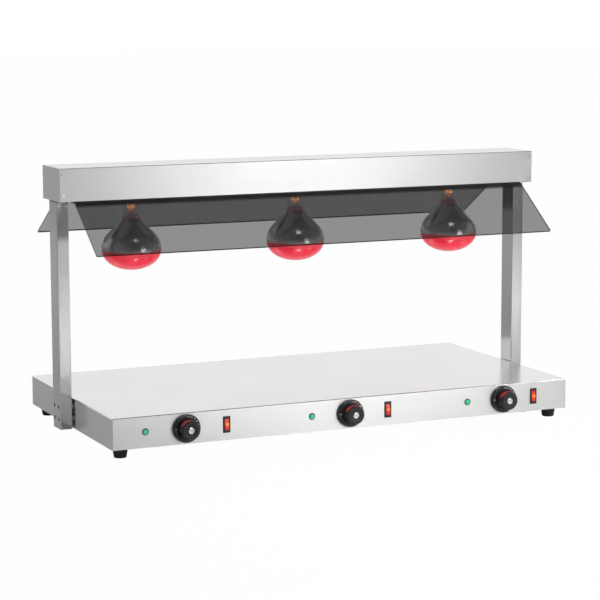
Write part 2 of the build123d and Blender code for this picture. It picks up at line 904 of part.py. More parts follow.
def base_loom():
    """Wires from the terminal block along the control panel."""
    y = thermostat_back + loom_behind_thermostats
    x = terminal_x - loom_spacing / 2
    z = terminal_bottom + loom_seat_gap + base_loom_radius
    points = [
        (-base_width / 2 + loom_left_margin, y, z),
        (x, y, z),
        (x, terminal_y - terminal_length / 2, z),
    ]
    return tube_along(points, base_loom_radius, loom_bend)


def bridge_loom():
    """Wires from the terminal block through the right post and along the bridge."""
    x = terminal_x + loom_spacing / 2
    low_z = terminal_bottom + terminal_height / 2
    high_z = bottom_plate_top + bridge_loom_rise
    points = [
        (x, terminal_y - terminal_length / 2, low_z),
        (x, 0, low_z),
        (x, 0, control_z),
        (post_x, 0, control_z),
        (post_x, 0, high_z),
        (post_x, bridge_loom_y, high_z),
        (lamp_x["left"], bridge_loom_y, high_z),
    ]
    return tube_along(points, bridge_loom_radius, loom_bend)


def wiring_looms():
    return group([base_loom(), bridge_loom()])


# Posts

def bracket_insert_size(inset):
    """Width and depth inside a post, less a gap at each wall."""
    gap = post_wall + inset
    return post_width - 2 * gap, post_depth - 2 * gap


def post_top_screw_places():
    """X and Y sign of the screws through each post's front and back faces."""
    half = post_top_screw_spacing / 2
    return [(x, face) for x in (-half, half) for face in (-1, 1)]


def post(side):
    sign = sides[side]
    height = post_top - foot_height
    outer = extrude(RectangleRounded(post_width, post_depth, post_corner_radius), height)
    inner_width, inner_depth = bracket_insert_size(0)
    inner = extrude(Rectangle(inner_width, inner_depth), height)
    tube = outer - Pos(0, 0, post_wall) * inner
    reach = 2 * post_wall
    cuts = []
    for y, z in post_screw_places():
        inner_wall = Pos(-sign * post_width / 2, y, z - foot_height) * to_right
        outer_wall = Pos(sign * post_width / 2, y, z - foot_height) * to_right
        cuts.append(inner_wall * through_rod(post_screw_radius + hole_clearance, reach))
        cuts.append(outer_wall * through_rod(access_hole_radius, reach))
    if side == "right":
        cable_wall = Pos(-post_width / 2, 0, control_z - foot_height) * to_right
        cuts.append(cable_wall * through_rod(cable_hole_radius, reach))
    for x, face in post_top_screw_places():
        place = Pos(x, face * post_depth / 2, height - post_top_screw_drop) * to_back
        cuts.append(place * through_rod(post_top_screw_radius + hole_clearance, reach))
    return Pos(sign * post_x, 0, foot_height) * (tube - cuts)


def post_spacers():
    ring = rod(post_spacer_radius, post_gap) - rod(post_screw_radius + hole_clearance, post_gap)
    pieces = []
    for sign in sides.values():
        start = base_width / 2 if sign > 0 else -post_inner
        pieces += [Pos(start, y, z) * to_right * ring for y, z in post_screw_places()]
    return group(pieces)


def post_screws():
    length = post_wall + post_gap + base_sheet + post_nut_height + post_screw_overrun
    pieces = []
    for sign in sides.values():
        turn = to_left if sign > 0 else to_right
        x = sign * (post_inner + post_wall)
        pieces += [Pos(x, y, z) * turn * screw(post_screw_radius, length) for y, z in post_screw_places()]
    return group(pieces)


def post_nuts():
    nut = hex_nut(post_nut_across_flats, post_nut_height, post_screw_radius + thread_clearance)
    pieces = []
    for sign in sides.values():
        turn = to_left if sign > 0 else to_right
        x = sign * (base_width / 2 - base_sheet)
        pieces += [Pos(x, y, z) * turn * nut for y, z in post_screw_places()]
    return group(pieces)


def post_top_bracket(side):
    """Plate under the bridge with a square sleeve that plugs into the post."""
    plate = Box(
        bracket_plate_width, bracket_plate_depth, bracket_plate,
        align=(Align.CENTER, Align.CENTER, Align.MIN),
    )
    sleeve = Box(
        *bracket_insert_size(slip_clearance), bracket_length,
        align=(Align.CENTER, Align.CENTER, Align.MAX),
    )
    hollow = Box(
        *bracket_insert_size(slip_clearance + bracket_wall), bracket_length,
        align=(Align.CENTER, Align.CENTER, Align.MAX),
    )
    cuts = [through_rod(cable_hole_radius, 2 * bracket_plate)]
    for y in (-bracket_bolt_spacing / 2, bracket_bolt_spacing / 2):
        cuts.append(Pos(0, y, 0) * through_rod(bracket_bolt_radius + hole_clearance, 2 * bracket_plate))
    for x, face in post_top_screw_places():
        wall = face * (bracket_insert_size(slip_clearance)[1] - bracket_wall) / 2
        place = Pos(x, wall, -post_top_screw_drop) * to_back
        cuts.append(place * through_rod(post_top_screw_radius + thread_clearance, 2 * bracket_wall))
    return Pos(sides[side] * post_x, 0, post_top) * (plate + (sleeve - hollow) - cuts)


def post_top_brackets():
    return group([post_top_bracket(side) for side in sides])


def bracket_bolt_places():
    half = bracket_bolt_spacing / 2
    return [(sign * post_x, y) for sign in sides.values() for y in (-half, half)]


def bracket_bolts():
    bolt = screw(bracket_bolt_radius, bracket_bolt_length)
    return group([Pos(x, y, post_top) * bolt for x, y in bracket_bolt_places()])


def post_top_screws():
    pieces = []
    for sign in sides.values():
        for x, face in post_top_screw_places():
            turn = to_back if face < 0 else to_front
            place = Pos(sign * post_x + x, face * post_depth / 2, post_top - post_top_screw_drop)
            pieces.append(place * turn * screw(post_top_screw_radius, post_top_screw_length))
    return group(pieces)


# Bridge

def end_screw_places():
    """X, wall sign and Z of the screws through the bridge walls into the end caps."""
    x = bridge_half_width - end_screw_inset_x
    levels = (bridge_bottom + end_screw_inset_z, bridge_top - end_screw_inset_z)
    return [(sign * x, face, z) for sign in sides.values() for face in (-1, 1) for z in levels]


def shield_screw_places():
    xs = spread(shield_screw_count, shield_half_width - shield_screw_end_margin)
    y = bridge_depth / 2 - shield_screw_inset
    return [(x, face * y) for face in (-1, 1) for x in xs]


def bridge_housing():
    half_length = bridge_half_width - end_cap_sheet
    half_depth = bridge_depth / 2
    outer = box_between(
        (-half_length, half_length), (-half_depth, half_depth), (bridge_bottom, bridge_top)
    )
    outer = fillet(outer.edges().filter_by(Axis.X), bridge_bend_radius)
    inner_depth = half_depth - bridge_sheet
    inner = box_between(
        (-bridge_half_width, bridge_half_width),
        (-inner_depth, inner_depth),
        (bridge_bottom + bridge_sheet, bridge_top - bridge_sheet),
    )
    slot = box_between(
        (-bridge_half_width, bridge_half_width),
        (-bridge_slot_width / 2, bridge_slot_width / 2),
        (bridge_bottom - bridge_sheet, bridge_bottom + 2 * bridge_sheet),
    )
    cuts = []
    for x, face, z in end_screw_places():
        hole = through_rod(end_screw_radius + hole_clearance, 2 * bridge_sheet)
        cuts.append(Pos(x, face * half_depth, z) * to_back * hole)
    for x, y in shield_screw_places():
        hole = through_rod(shield_screw_radius + hole_clearance, 2 * bridge_sheet)
        cuts.append(Pos(x, y, bridge_bottom) * hole)
    return outer - inner - slot - cuts


def bridge_end_cap(side):
    """End plate with a flange inside the front and the back wall."""
    sign = sides[side]
    half_depth = bridge_depth / 2
    plate_x = sorted((sign * (bridge_half_width - end_cap_sheet), sign * bridge_half_width))
    plate = box_between(plate_x, (-half_depth, half_depth), (bridge_bottom, bridge_top))
    plate = fillet(plate.edges().filter_by(Axis.X), bridge_bend_radius)
    flange_x = sorted((sign * (bridge_half_width - end_cap_flange), sign * bridge_half_width))
    flange_z = (bottom_plate_top + end_cap_flange_gap, bridge_top - bridge_sheet - end_cap_flange_gap)
    cuts = []
    for face in (-1, 1):
        wall = half_depth - bridge_sheet
        flange_y = sorted((face * (wall - end_cap_sheet), face * wall))
        plate += box_between(flange_x, flange_y, flange_z)
    for x, face, z in end_screw_places():
        hole = through_rod(end_screw_radius + thread_clearance, 2 * (bridge_sheet + end_cap_sheet))
        cuts.append(Pos(x, face * half_depth, z) * to_back * hole)
    return plate - cuts


def end_cap_screws():
    pieces = []
    for x, face, z in end_screw_places():
        turn = to_back if face < 0 else to_front
        place = Pos(x, face * bridge_depth / 2, z) * turn
        pieces.append(place * screw(end_screw_radius, end_screw_length))
    return group(pieces)


def bridge_bottom_plate():
    half_length = bridge_half_width - end_cap_sheet - bottom_plate_gap
    half_depth = bridge_depth / 2 - bridge_sheet - bottom_plate_gap
    plate = box_between(
        (-half_length, half_length), (-half_depth, half_depth), (bottom_plate_under, bottom_plate_top)
    )
    reach = 2 * bottom_plate_sheet
    for x, y in shield_screw_places():
        plate += Pos(x, y, bottom_plate_top) * rod(collar_radius, collar_height)
    collar_bore = through_rod(shield_screw_radius + thread_clearance, 2 * collar_height)
    cuts = [Pos(x, y, bottom_plate_under) * collar_bore for x, y in shield_screw_places()]
    for zone in zones:
        hole = through_rod(lamp_hole_radius, reach)
        cuts.append(Pos(lamp_x[zone], lamp_y, bottom_plate_under) * hole)
    for x, y in bracket_bolt_places():
        hole = through_rod(bracket_bolt_radius + thread_clearance, reach)
        cuts.append(Pos(x, y, bottom_plate_under) * hole)
    cuts.append(Pos(post_x, 0, bottom_plate_under) * through_rod(cable_hole_radius, reach))
    return plate - cuts


# Shields

def shield_profile(fall):
    """Side view of a shield on the front side, in Y and Z: a flange, then the slope."""
    out = cos(radians(fall))
    down = sin(radians(fall))
    bend_y = -(bridge_depth / 2 + shield_proud)
    flange_end = -(lamp_y + lamp_hole_radius)
    lower_y = bend_y - shield_length * out
    lower_z = bridge_bottom - shield_length * down
    inside_y = lower_y + shield_sheet * down
    inside_z = lower_z - shield_sheet * out
    inner_bend_y = bend_y + shield_sheet * (1 - out) / down
    inner_bend_z = bridge_bottom - shield_sheet
    face = make_face(Polyline(
        (flange_end, bridge_bottom),
        (bend_y, bridge_bottom),
        (lower_y, lower_z),
        (inside_y, inside_z),
        (inner_bend_y, inner_bend_z),
        (flange_end, inner_bend_z),
        close=True,
    ))
    by_height = face.vertices().sort_by(lambda vertex: (vertex.Y, vertex.X))
    outer_bend = [v for v in by_height if abs(v.X - bend_y) < contact_gap and v.Y > inner_bend_z]
    inner_bend = [v for v in by_height if abs(v.X - inner_bend_y) < contact_gap]
    face = fillet(outer_bend, shield_bend_radius + shield_sheet)
    matching = [v for v in face.vertices() if (v.center() - inner_bend[0].center()).length < contact_gap]
    return fillet(matching, shield_bend_radius)


def shield(fall):
    """Shield on the front side."""
    sheet = extrude(Plane.YZ * shield_profile(fall), shield_half_width, both=True)
    corner_edges = sheet.edges().filter_by(lambda edge: abs(edge.length - shield_sheet) < contact_gap)
    lower_corners = corner_edges.sort_by(Axis.Z)[:2]
    sheet = fillet(lower_corners, shield_corner_radius)
    holes = [
        Pos(x, y, bridge_bottom) * through_rod(shield_screw_radius + hole_clearance, 2 * shield_sheet)
        for x, y in shield_screw_places()
    ]
    return sheet - holes


def shield_screws():
    length = shield_sheet + bridge_sheet + bottom_plate_sheet + collar_height
    under = bridge_bottom - shield_sheet
    return group([Pos(x, y, under) * screw(shield_screw_radius, length) for x, y in shield_screw_places()])


# Lamps

def lamp_outline(inset):
    """Half section of the glass, or of the space in it, in radius and height."""
    radius = lamp_radius - inset
    neck = lamp_neck_radius - inset
    stem = lamp_stem_radius - inset
    top = lamp_shoulder_end + lamp_stem_length + inset
    face = EllipticalCenterArc(
        (0, lamp_face_height), radius, lamp_face_height - inset, start_angle=270, arc_size=90
    )
    bell = FilletPolyline(
        (radius, lamp_face_height),
        (radius, lamp_knuckle),
        (neck, lamp_neck_start),
        (neck, lamp_neck_end),
        radius=[lamp_rim_bend, lamp_neck_bend],
    )
    shoulder = Spline(
        (neck, lamp_neck_end), (stem, lamp_shoulder_end), tangents=((0, 1), (0, 1))
    )
    stem_line = Line((stem, lamp_shoulder_end), (stem, top))
    top_line = Line((stem, top), (0, top))
    axis_line = Line((0, top), (0, inset))
    return make_face([face, *bell.edges(), shoulder, stem_line, top_line, axis_line])


def lamp_bulb(zone):
    glass = revolve(Plane.XZ * lamp_outline(0), Axis.Z)
    glass -= revolve(Plane.XZ * lamp_outline(lamp_glass), Axis.Z)
    return Pos(lamp_x[zone], lamp_y, lamp_bottom) * glass


def lamp_cap(zone):
    """Screw cap: a skirt over the glass stem, the shell and the centre contact."""
    shell = Pos(0, 0, lamp_cap_bottom) * rod(lamp_cap_radius, lamp_cap_length)
    contact_z = lamp_cap_bottom + lamp_cap_length
    shell = fillet(shell.edges().group_by(Axis.Z)[-1], lamp_cap_skirt / 2)
    shell += Pos(0, 0, contact_z) * rod(lamp_contact_radius, lamp_contact_height)
    seat = Pos(0, 0, lamp_cap_bottom) * rod(lamp_stem_radius + slip_clearance, lamp_cap_skirt)
    return Pos(lamp_x[zone], lamp_y, lamp_bottom) * (shell - seat)


def lamp_caps():
    return group([lamp_cap(zone) for zone in zones])


def lamp_socket(zone):
    body = rod(socket_radius, socket_height)
    body = chamfer(body.edges().group_by(Axis.Z)[0], socket_bevel)
    bore = rod(lamp_cap_radius + socket_bore_clearance, socket_bore_depth)
    return Pos(lamp_x[zone], lamp_y, socket_bottom) * (body - bore)


def lamp_sockets():
    return group([lamp_socket(zone) for zone in zones])


def socket_bracket(zone):
    """Strap over a lamp holder, with two feet on the bottom plate."""
    leg = socket_radius + socket_bracket_gap
    leg_outer = leg + socket_bracket_sheet
    half_width = socket_bracket_width / 2
    strap_y = (-half_width, half_width)
    strap = box_between(
        (-leg_outer, leg_outer), strap_y, (socket_top, socket_top + socket_bracket_sheet)
    )
    for sign in (-1, 1):
        leg_x = sorted((sign * leg, sign * leg_outer))
        foot_x = sorted((sign * leg, sign * (leg_outer + socket_bracket_foot)))
        strap += box_between(leg_x, strap_y, (bottom_plate_top, socket_top + socket_bracket_sheet))
        strap += box_between(foot_x, strap_y, (bottom_plate_top, bottom_plate_top + socket_bracket_sheet))
    return Pos(lamp_x[zone], lamp_y, 0) * strap


def socket_brackets():
    return group([socket_bracket(zone) for zone in zones])


# All nodes by name

nodes = {
    "base_housing": base_housing(),
    "base_bottom_cover": base_bottom_cover(),
    "cover_screws": cover_screws(),
    "foot_screws": foot_screws(),
    "heating_elements": heating_elements(),
    "heater_clamp_bars": heater_clamp_bars(),
    "heater_studs": heater_studs(),
    "heater_nuts": heater_nuts(),
    "insulation_board": insulation_board(),
    "insulation_tray": insulation_tray(),
    "thermostat_bodies": thermostat_bodies(),
    "thermostat_screws": thermostat_screws(),
    "thermostat_sensors": thermostat_sensors(),
    "pilot_bodies": pilot_bodies(),
    "pilot_lenses": pilot_lenses(),
    "terminal_block": terminal_block(),
    "cable_gland": cable_gland(),
    "gland_locknut": gland_locknut(),
    "wiring_looms": wiring_looms(),
    "post_spacers": post_spacers(),
    "post_screws": post_screws(),
    "post_nuts": post_nuts(),
    "post_top_brackets": post_top_brackets(),
    "bracket_bolts": bracket_bolts(),
    "post_top_screws": post_top_screws(),
    "bridge_housing": bridge_housing(),
    "end_cap_screws": end_cap_screws(),
    "bridge_bottom_plate": bridge_bottom_plate(),
    "shield_front": shield(shield_fall["front"]),
    "shield_back": mirror(shield(shield_fall["back"]), Plane.XZ),
    "shield_screws": shield_screws(),
    "lamp_caps": lamp_caps(),
    "lamp_sockets": lamp_sockets(),
    "socket_brackets": socket_brackets(),
}
for corner in foot_places:
    nodes[f"foot_{corner}"] = foot(corner)
for side in sides:
    nodes[f"post_{side}"] = post(side)
    nodes[f"bridge_end_cap_{side}"] = bridge_end_cap(side)
for zone in zones:
    nodes[f"switch_housing_{zone}"] = switch_housing(zone)
    nodes[f"rocker_{zone}"] = rocker(zone)
    nodes[f"knob_{zone}"] = knob(zone)
    nodes[f"knob_cap_{zone}"] = knob_cap(zone)
    nodes[f"spindle_{zone}"] = spindle(zone)
    nodes[f"lamp_bulb_{zone}"] = lamp_bulb(zone)

os.makedirs("parts", exist_ok=True)
for name, shape in nodes.items():
    export_step(shape, f"parts/{name}.step")
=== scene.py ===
import json
import math

import bmesh
import bpy
from mathutils import Matrix, Vector


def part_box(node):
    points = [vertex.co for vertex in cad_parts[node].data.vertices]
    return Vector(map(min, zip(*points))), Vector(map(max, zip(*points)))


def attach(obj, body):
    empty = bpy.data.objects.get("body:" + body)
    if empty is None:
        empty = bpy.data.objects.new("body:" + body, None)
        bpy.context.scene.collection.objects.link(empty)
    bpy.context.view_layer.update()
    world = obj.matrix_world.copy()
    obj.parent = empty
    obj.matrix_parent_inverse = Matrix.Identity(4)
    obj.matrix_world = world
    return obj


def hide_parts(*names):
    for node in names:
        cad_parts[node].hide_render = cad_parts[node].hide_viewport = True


# Food warming bridge: surfaces, detailed pieces, studio and camera.
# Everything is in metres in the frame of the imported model: X to the right along the
# control panel, Y from the panel to the back, Z up, and the floor at zero.

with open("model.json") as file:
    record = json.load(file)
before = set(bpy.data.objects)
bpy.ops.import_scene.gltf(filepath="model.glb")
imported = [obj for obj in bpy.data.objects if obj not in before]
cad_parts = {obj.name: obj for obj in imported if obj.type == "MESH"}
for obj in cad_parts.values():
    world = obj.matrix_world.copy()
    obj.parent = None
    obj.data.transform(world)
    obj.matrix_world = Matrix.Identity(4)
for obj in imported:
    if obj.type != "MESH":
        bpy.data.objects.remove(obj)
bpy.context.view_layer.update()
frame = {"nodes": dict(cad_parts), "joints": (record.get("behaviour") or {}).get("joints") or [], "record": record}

MM = 0.001
ZONES = ("left", "middle", "right")
PIVOTS = {joint["name"]: Vector(joint["pos_m"]) for joint in frame["joints"]}
TO_FRONT = Matrix.Rotation(math.radians(90), 4, "X")
TO_BACK = Matrix.Rotation(math.radians(-90), 4, "X")

# Camera, found from the straight edges in the photograph
CAMERA_PLACE = (-1.85075, -4.12623, 0.91217)
CAMERA_YAW = 24.243
CAMERA_PITCH = 8.255
CAMERA_ROLL = -0.18
CAMERA_LENS = 125.458
CAMERA_SENSOR = 36.0
CAMERA_REACH = 200.0

# Floor, with the shares of plain white that the camera and mirrors see in it
FLOOR_HALF = 30.0
FLOOR_TONE = 0.86
FLOOR_ROUGHNESS = 0.9
FLOOR_WHITE_SHARE = 0.985
GLOSS_WHITE_SHARE = 0.06

# Room, brighter behind and on the right, and dimmer overhead
WORLD_DARK = 0.14
WORLD_BACK = 0.93
WORLD_RIGHT = 0.36
WORLD_ZENITH = 0.4
WORLD_DIM_START = 0.25
WORLD_DIM_END = 0.8

# Soft boxes: two on the floor in front, one on the floor behind at the left, one on the object's front
FLOOR_RIGHT_PLACE = (2.6, -2.5, 2.6)
FLOOR_RIGHT_AIM = (0.9, -1.75, 0.0)
FLOOR_RIGHT_LIGHT = 3.8
FLOOR_LEFT_PLACE = (-0.1, -2.2, 2.6)
FLOOR_LEFT_AIM = (0.2, -0.9, 0.0)
FLOOR_LEFT_LIGHT = 1.9
FLOOR_BOX_SIZE = (0.9, 0.9)
FLOOR_BOX_SPREAD = 45.0
LEFT_PLACE = (-2.3, 2.9, 2.8)
LEFT_AIM = (-1.4, 1.95, 0.0)
LEFT_LIGHT = 0.66
LEFT_SIZE = (2.5, 2.5)
LEFT_SPREAD = 130.0
FRONT_PLACE = (1.85, -4.3, 0.75)
FRONT_AIM = (0.0, -0.2, 0.3)
FRONT_LIGHT = 4.3
FRONT_SIZE = (1.1, 1.5)
FRONT_SPREAD = 180.0

# Surfaces
ROUGHNESS_SWING = 0.06
BRUSH_LINE_LENGTH = 0.25
BRUSH_LINE_WIDTH = 0.0005
BRUSH_RELIEF = 0.06
BRUSH_DEPTH = 0.0002
# Reach of the painted shade in the slots and corners of the plating
PAINTED_SHADE_REACH = 1.4 * MM
ACRYLIC_IOR = 1.49

# Knobs, with the sizes of the solids
KNOB_GAP = 2.8 * MM
KNOB_LENGTH = 29.0 * MM
KNOB_SKIRT_RADIUS = 29.0 * MM
KNOB_SKIRT_THICKNESS = 5.0 * MM
KNOB_GRIP_RADIUS = 19.3 * MM
KNOB_GRIP_FLARE = 1.2 * MM
KNOB_RING_RADIUS = 9.5 * MM
KNOB_RING_DEPTH = 3.0 * MM
KNOB_CAP_RADIUS = 6.35 * MM
KNOB_CAP_RECESS = 0.4 * MM
KNOB_CAP_ROOT = 1.5 * MM
KNOB_BORE = 8.0 * MM
KNOB_BACK_HOLLOW = 0.6 * MM
KNOB_GROOVE_DEPTH = 0.8 * MM

# Dished front of a knob's cap, and the slotted disc in it
DISH_RIM = 4.4 * MM
DISH_RADIUS = 4.2 * MM
DISH_WALL = 1.2 * MM
DISH_DEPTH = 1.4 * MM
SLOT_DISC_RADIUS = 3.6 * MM
SLOT_DISC_DROP = 0.5 * MM
SLOT_HALF_WIDTH = 1.0 * MM
SLOT_SLANT = 62.0

# Dial, with angles clockwise from the top. It turns clockwise to heat, so its numbers grow anticlockwise.
DIAL_HOTTEST = 110
DIAL_COOLEST = 30
DIAL_DEGREES = 10
DIAL_START = 3.0
DIAL_STEP = 17.5
DIAL_NUMBER_SIZE = 4.3 * MM
DIAL_NUMBER_RADIUS = 24.8 * MM
DIAL_PRINT_THICKNESS = 0.3 * MM
OFF_MARK_ANGLE = -90.0
OFF_MARK_INNER = 21.6 * MM
OFF_MARK_OUTER = 27.2 * MM
OFF_MARK_WIDTH = 1.1 * MM
OFF_MARK_THICKNESS = 0.2 * MM
HEAT_BAND_START = -64.0
HEAT_BAND_END = 46.0
HEAT_BAND_FRONT = 4.5 * MM
HEAT_BAND_NARROW = 2.0 * MM
HEAT_BAND_WIDE = 11.0 * MM
HEAT_BAND_LIFT = 0.35 * MM
HEAT_BAND_SINK = 0.4 * MM

# Rockers
ROCKER_HALF_WIDTH = 4.4 * MM
ROCKER_HALF_HEIGHT = 11.4 * MM
ROCKER_RIDGE = 5.2 * MM
ROCKER_HOLLOW = 0.35 * MM
ROCKER_BACK = 2.5 * MM
ROCKER_BACK_INSET = 0.2 * MM
ROCKER_EDGE = 0.45 * MM
ROCKER_TILT = 8.0
ROCKER_GLOW_REACH = 0.0125

# Pilot lenses
LENS_RADIUS = 5.2 * MM
LENS_HEIGHT = 2.0 * MM
LENS_SINK = 0.5 * MM
LENS_RIM = 0.2 * MM
LENS_DOME_SHARE = 0.94
LENS_RING_DEPTH = 0.12 * MM
LENS_RING_STEPS = 4
LENS_FROM_KNOB = 87.0 * MM

# Shields, with the share of light that each face of a sheet holds back, and painted shade that darkens the top of
# each sheet at its bend
SHIELD_HALF_WIDTH = 523.5 * MM
SHIELD_SHEET = 3.0 * MM
SHIELD_TOP = 498.0 * MM
SHIELD_FLANGE_END = 29.0 * MM
SHIELD_BEND = 60.75 * MM
SHIELD_LENGTH = 165.0 * MM
SHIELD_BEND_RADIUS = 7.0 * MM
SHIELD_CORNER = 3.0 * MM
SHIELD_EDGE = 0.5 * MM
SHIELD_FALL = {"front": 35.3, "back": 31.3}
SHIELD_VEIL = 0.485
# Painted shade: towards its bend the sheet turns nearly opaque black, standing for the dark look of light bent
# through it
SHIELD_BEND_PAINTED_SHADE = 0.93
SHIELD_PAINTED_SHADE_START = SHIELD_TOP - 11.0 * MM
SHIELD_PAINTED_SHADE_END = SHIELD_TOP - 5.0 * MM

# Lamps, with heights from the lowest point of the red face
LAMP_RADIUS = 62.5 * MM
LAMP_FACE = 42.0 * MM
LAMP_KNUCKLE = 64.0 * MM
LAMP_RIM_BEND = 50.0 * MM
LAMP_NECK_START = 109.5 * MM
LAMP_NECK_BEND = 38.0 * MM
LAMP_BELL_END = LAMP_NECK_START + 20.0 * MM
LAMP_NECK_END = 149.0 * MM
LAMP_NECK_RADIUS = 17.0 * MM
LAMP_SHOULDER_BEND = 6.0 * MM
LAMP_SHOULDER_END = 157.0 * MM
LAMP_STEM_BEND = 4.0 * MM
LAMP_STEM_RADIUS = 12.0 * MM
LAMP_TOP = 161.0 * MM
LAMP_SEAM_LIFT = 0.25 * MM
LAMP_SEAM_START = LAMP_FACE + 0.4 * MM
LAMP_SEAM_END = LAMP_FACE + 1.2 * MM

# Mirror film of a lamp: it leaks some light of the lit lamp and fades out in the neck
FILM_LEAK = 0.12
FILM_FADE_START = 107.0 * MM
FILM_FADE_END = 122.0 * MM

# Wires inside a lamp. A lead's path is in millimetres: distance from the axis, and height.
FILAMENT_HEIGHT = 135.0 * MM
FILAMENT_RADIUS = 7.2 * MM
FILAMENT_SWING = 4.5 * MM
FILAMENT_WAVES = 5
FILAMENT_WIRE = 0.55 * MM
COIL_HEIGHT = 124.5 * MM
COIL_RADIUS = 4.7 * MM
COIL_PITCH = 1.6 * MM
COIL_TURNS = 3
COIL_WIRE = 0.7 * MM
LEAD_COUNT = 4
LEAD_START_ANGLE = 45.0
LEAD_PATH = ((1.8, 143.0), (7.0, 137.0), (5.0, 129.0), (4.6, 124.0), (8.0, 105.8))
LEAD_WIRE = 1.2 * MM

# Outside of the cable gland
HEXAGON_RADIUS = 13.2 * MM
HEXAGON_BORE = 9.0 * MM
HEXAGON_GAP = 0.05 * MM
HEXAGON_LENGTH = 6.0 * MM
DOME_RADIUS = 11.5 * MM
DOME_FOOT = 11.0 * MM
DOME_FLUTES = 18
DOME_FLUTE_DEPTH = 0.6 * MM
SEAL_RADIUS = 6.5 * MM
SEAL_BORE = 5.0 * MM
SEAL_BACK = 1.0 * MM
SEAL_FLOOR = 2.0 * MM
SEAL_DROP = 2.0 * MM


# Shader helpers

def new_material(name):
    material = bpy.data.materials.new(name)
    material.use_nodes = True
    tree = material.node_tree
    return material, tree, tree.nodes["Principled BSDF"]


def add_node(tree, kind, **settings):
    node = tree.nodes.new(kind)
    for setting, value in settings.items():
        setattr(node, setting, value)
    return node


def object_place(tree, scale):
    """Places on the object, stretched by a scale for each axis."""
    coordinates = add_node(tree, "ShaderNodeTexCoord")
    mapping = add_node(tree, "ShaderNodeMapping")
    mapping.inputs["Scale"].default_value = scale
    tree.links.new(coordinates.outputs["Object"], mapping.inputs["Vector"])
    return mapping.outputs["Vector"]


def noise(tree, scale, detail=3.0):
    texture = add_node(tree, "ShaderNodeTexNoise")
    texture.inputs["Scale"].default_value = 1.0
    texture.inputs["Detail"].default_value = detail
    tree.links.new(object_place(tree, scale), texture.inputs["Vector"])
    return texture.outputs["Fac"]


def between(tree, value, low, high, start=0.3, end=0.7):
    """Turns a texture's usual range into low to high."""
    change = add_node(tree, "ShaderNodeMapRange")
    for socket, number in (("From Min", start), ("From Max", end), ("To Min", low), ("To Max", high)):
        change.inputs[socket].default_value = number
    tree.links.new(value, change.inputs["Value"])
    return change.outputs["Result"]


def arithmetic(tree, operation, first, second):
    node = add_node(tree, "ShaderNodeMath", operation=operation)
    for socket, value in zip(node.inputs, (first, second)):
        if isinstance(value, float):
            socket.default_value = value
        else:
            tree.links.new(value, socket)
    return node.outputs["Value"]


def colours(tree, value, *stops):
    """Colour from a value, through (position, colour) stops."""
    ramp = add_node(tree, "ShaderNodeValToRGB")
    elements = ramp.color_ramp.elements
    while len(elements) < len(stops):
        elements.new(1.0)
    for element, (position, colour) in zip(elements, stops):
        element.position = position
        element.color = (*colour, 1.0)
    tree.links.new(value, ramp.inputs["Fac"])
    return ramp.outputs["Color"]


def raise_surface(tree, shader, height, strength, distance):
    bump = add_node(tree, "ShaderNodeBump")
    bump.inputs["Strength"].default_value = strength
    bump.inputs["Distance"].default_value = distance
    tree.links.new(height, bump.inputs["Height"])
    tree.links.new(bump.outputs["Normal"], shader.inputs["Normal"])


def grey(level):
    return (level, level, level)


def shade(colour, share):
    return tuple(min(1.0, part * share) for part in colour)


# Materials

def mottled(name, colour, rough, grain_size, metallic=0.0, variation=0.12, relief=0.2):
    """A surface with a fine grain and slow changes of tone."""
    material, tree, shader = new_material(name)
    grain = noise(tree, (1.0 / grain_size,) * 3)
    clouds = noise(tree, (0.05 / grain_size,) * 3)
    halves = [arithmetic(tree, "MULTIPLY", texture, 0.5) for texture in (grain, clouds)]
    mixed = arithmetic(tree, "ADD", *halves)
    tone = colours(tree, mixed, (0.35, shade(colour, 1 - variation)), (0.65, shade(colour, 1 + variation)))
    tree.links.new(tone, shader.inputs["Base Color"])
    wear = between(tree, mixed, rough - ROUGHNESS_SWING, rough + ROUGHNESS_SWING)
    tree.links.new(wear, shader.inputs["Roughness"])
    shader.inputs["Metallic"].default_value = metallic
    raise_surface(tree, shader, grain, relief, 0.3 * grain_size)
    return material


def plated_metal(name, colour, rough):
    """Bright plating with painted shade that darkens it in slots and corners, where it is also duller."""
    material, tree, shader = new_material(name)
    # Ambient occlusion paints shade into slots and corners, where the colour falls nearly to black
    painted_shade = add_node(tree, "ShaderNodeAmbientOcclusion")
    painted_shade.inputs["Distance"].default_value = PAINTED_SHADE_REACH
    clouds = between(tree, noise(tree, (900.0, 900.0, 900.0)), -0.1, 0.1)
    shade_and_clouds = arithmetic(tree, "ADD", painted_shade.outputs["AO"], clouds)
    tone = colours(tree, shade_and_clouds, (0.5, shade(colour, 0.02)), (0.72, colour))
    tree.links.new(tone, shader.inputs["Base Color"])
    tree.links.new(between(tree, shade_and_clouds, rough + 0.35, rough, 0.5, 1.0), shader.inputs["Roughness"])
    shader.inputs["Metallic"].default_value = 1.0
    return material


def grain_lines(tree, direction):
    """Long fine lines along one axis."""
    scale = [1.0 / BRUSH_LINE_WIDTH] * 3
    scale["XYZ".index(direction)] = 1.0 / BRUSH_LINE_LENGTH
    return noise(tree, scale)


def facing_shares(tree, normal):
    """How far a face looks along each axis, from zero to one."""
    parts = add_node(tree, "ShaderNodeSeparateXYZ")
    tree.links.new(normal, parts.inputs["Vector"])
    return [arithmetic(tree, "ABSOLUTE", parts.outputs[axis], 0.0) for axis in "XYZ"]


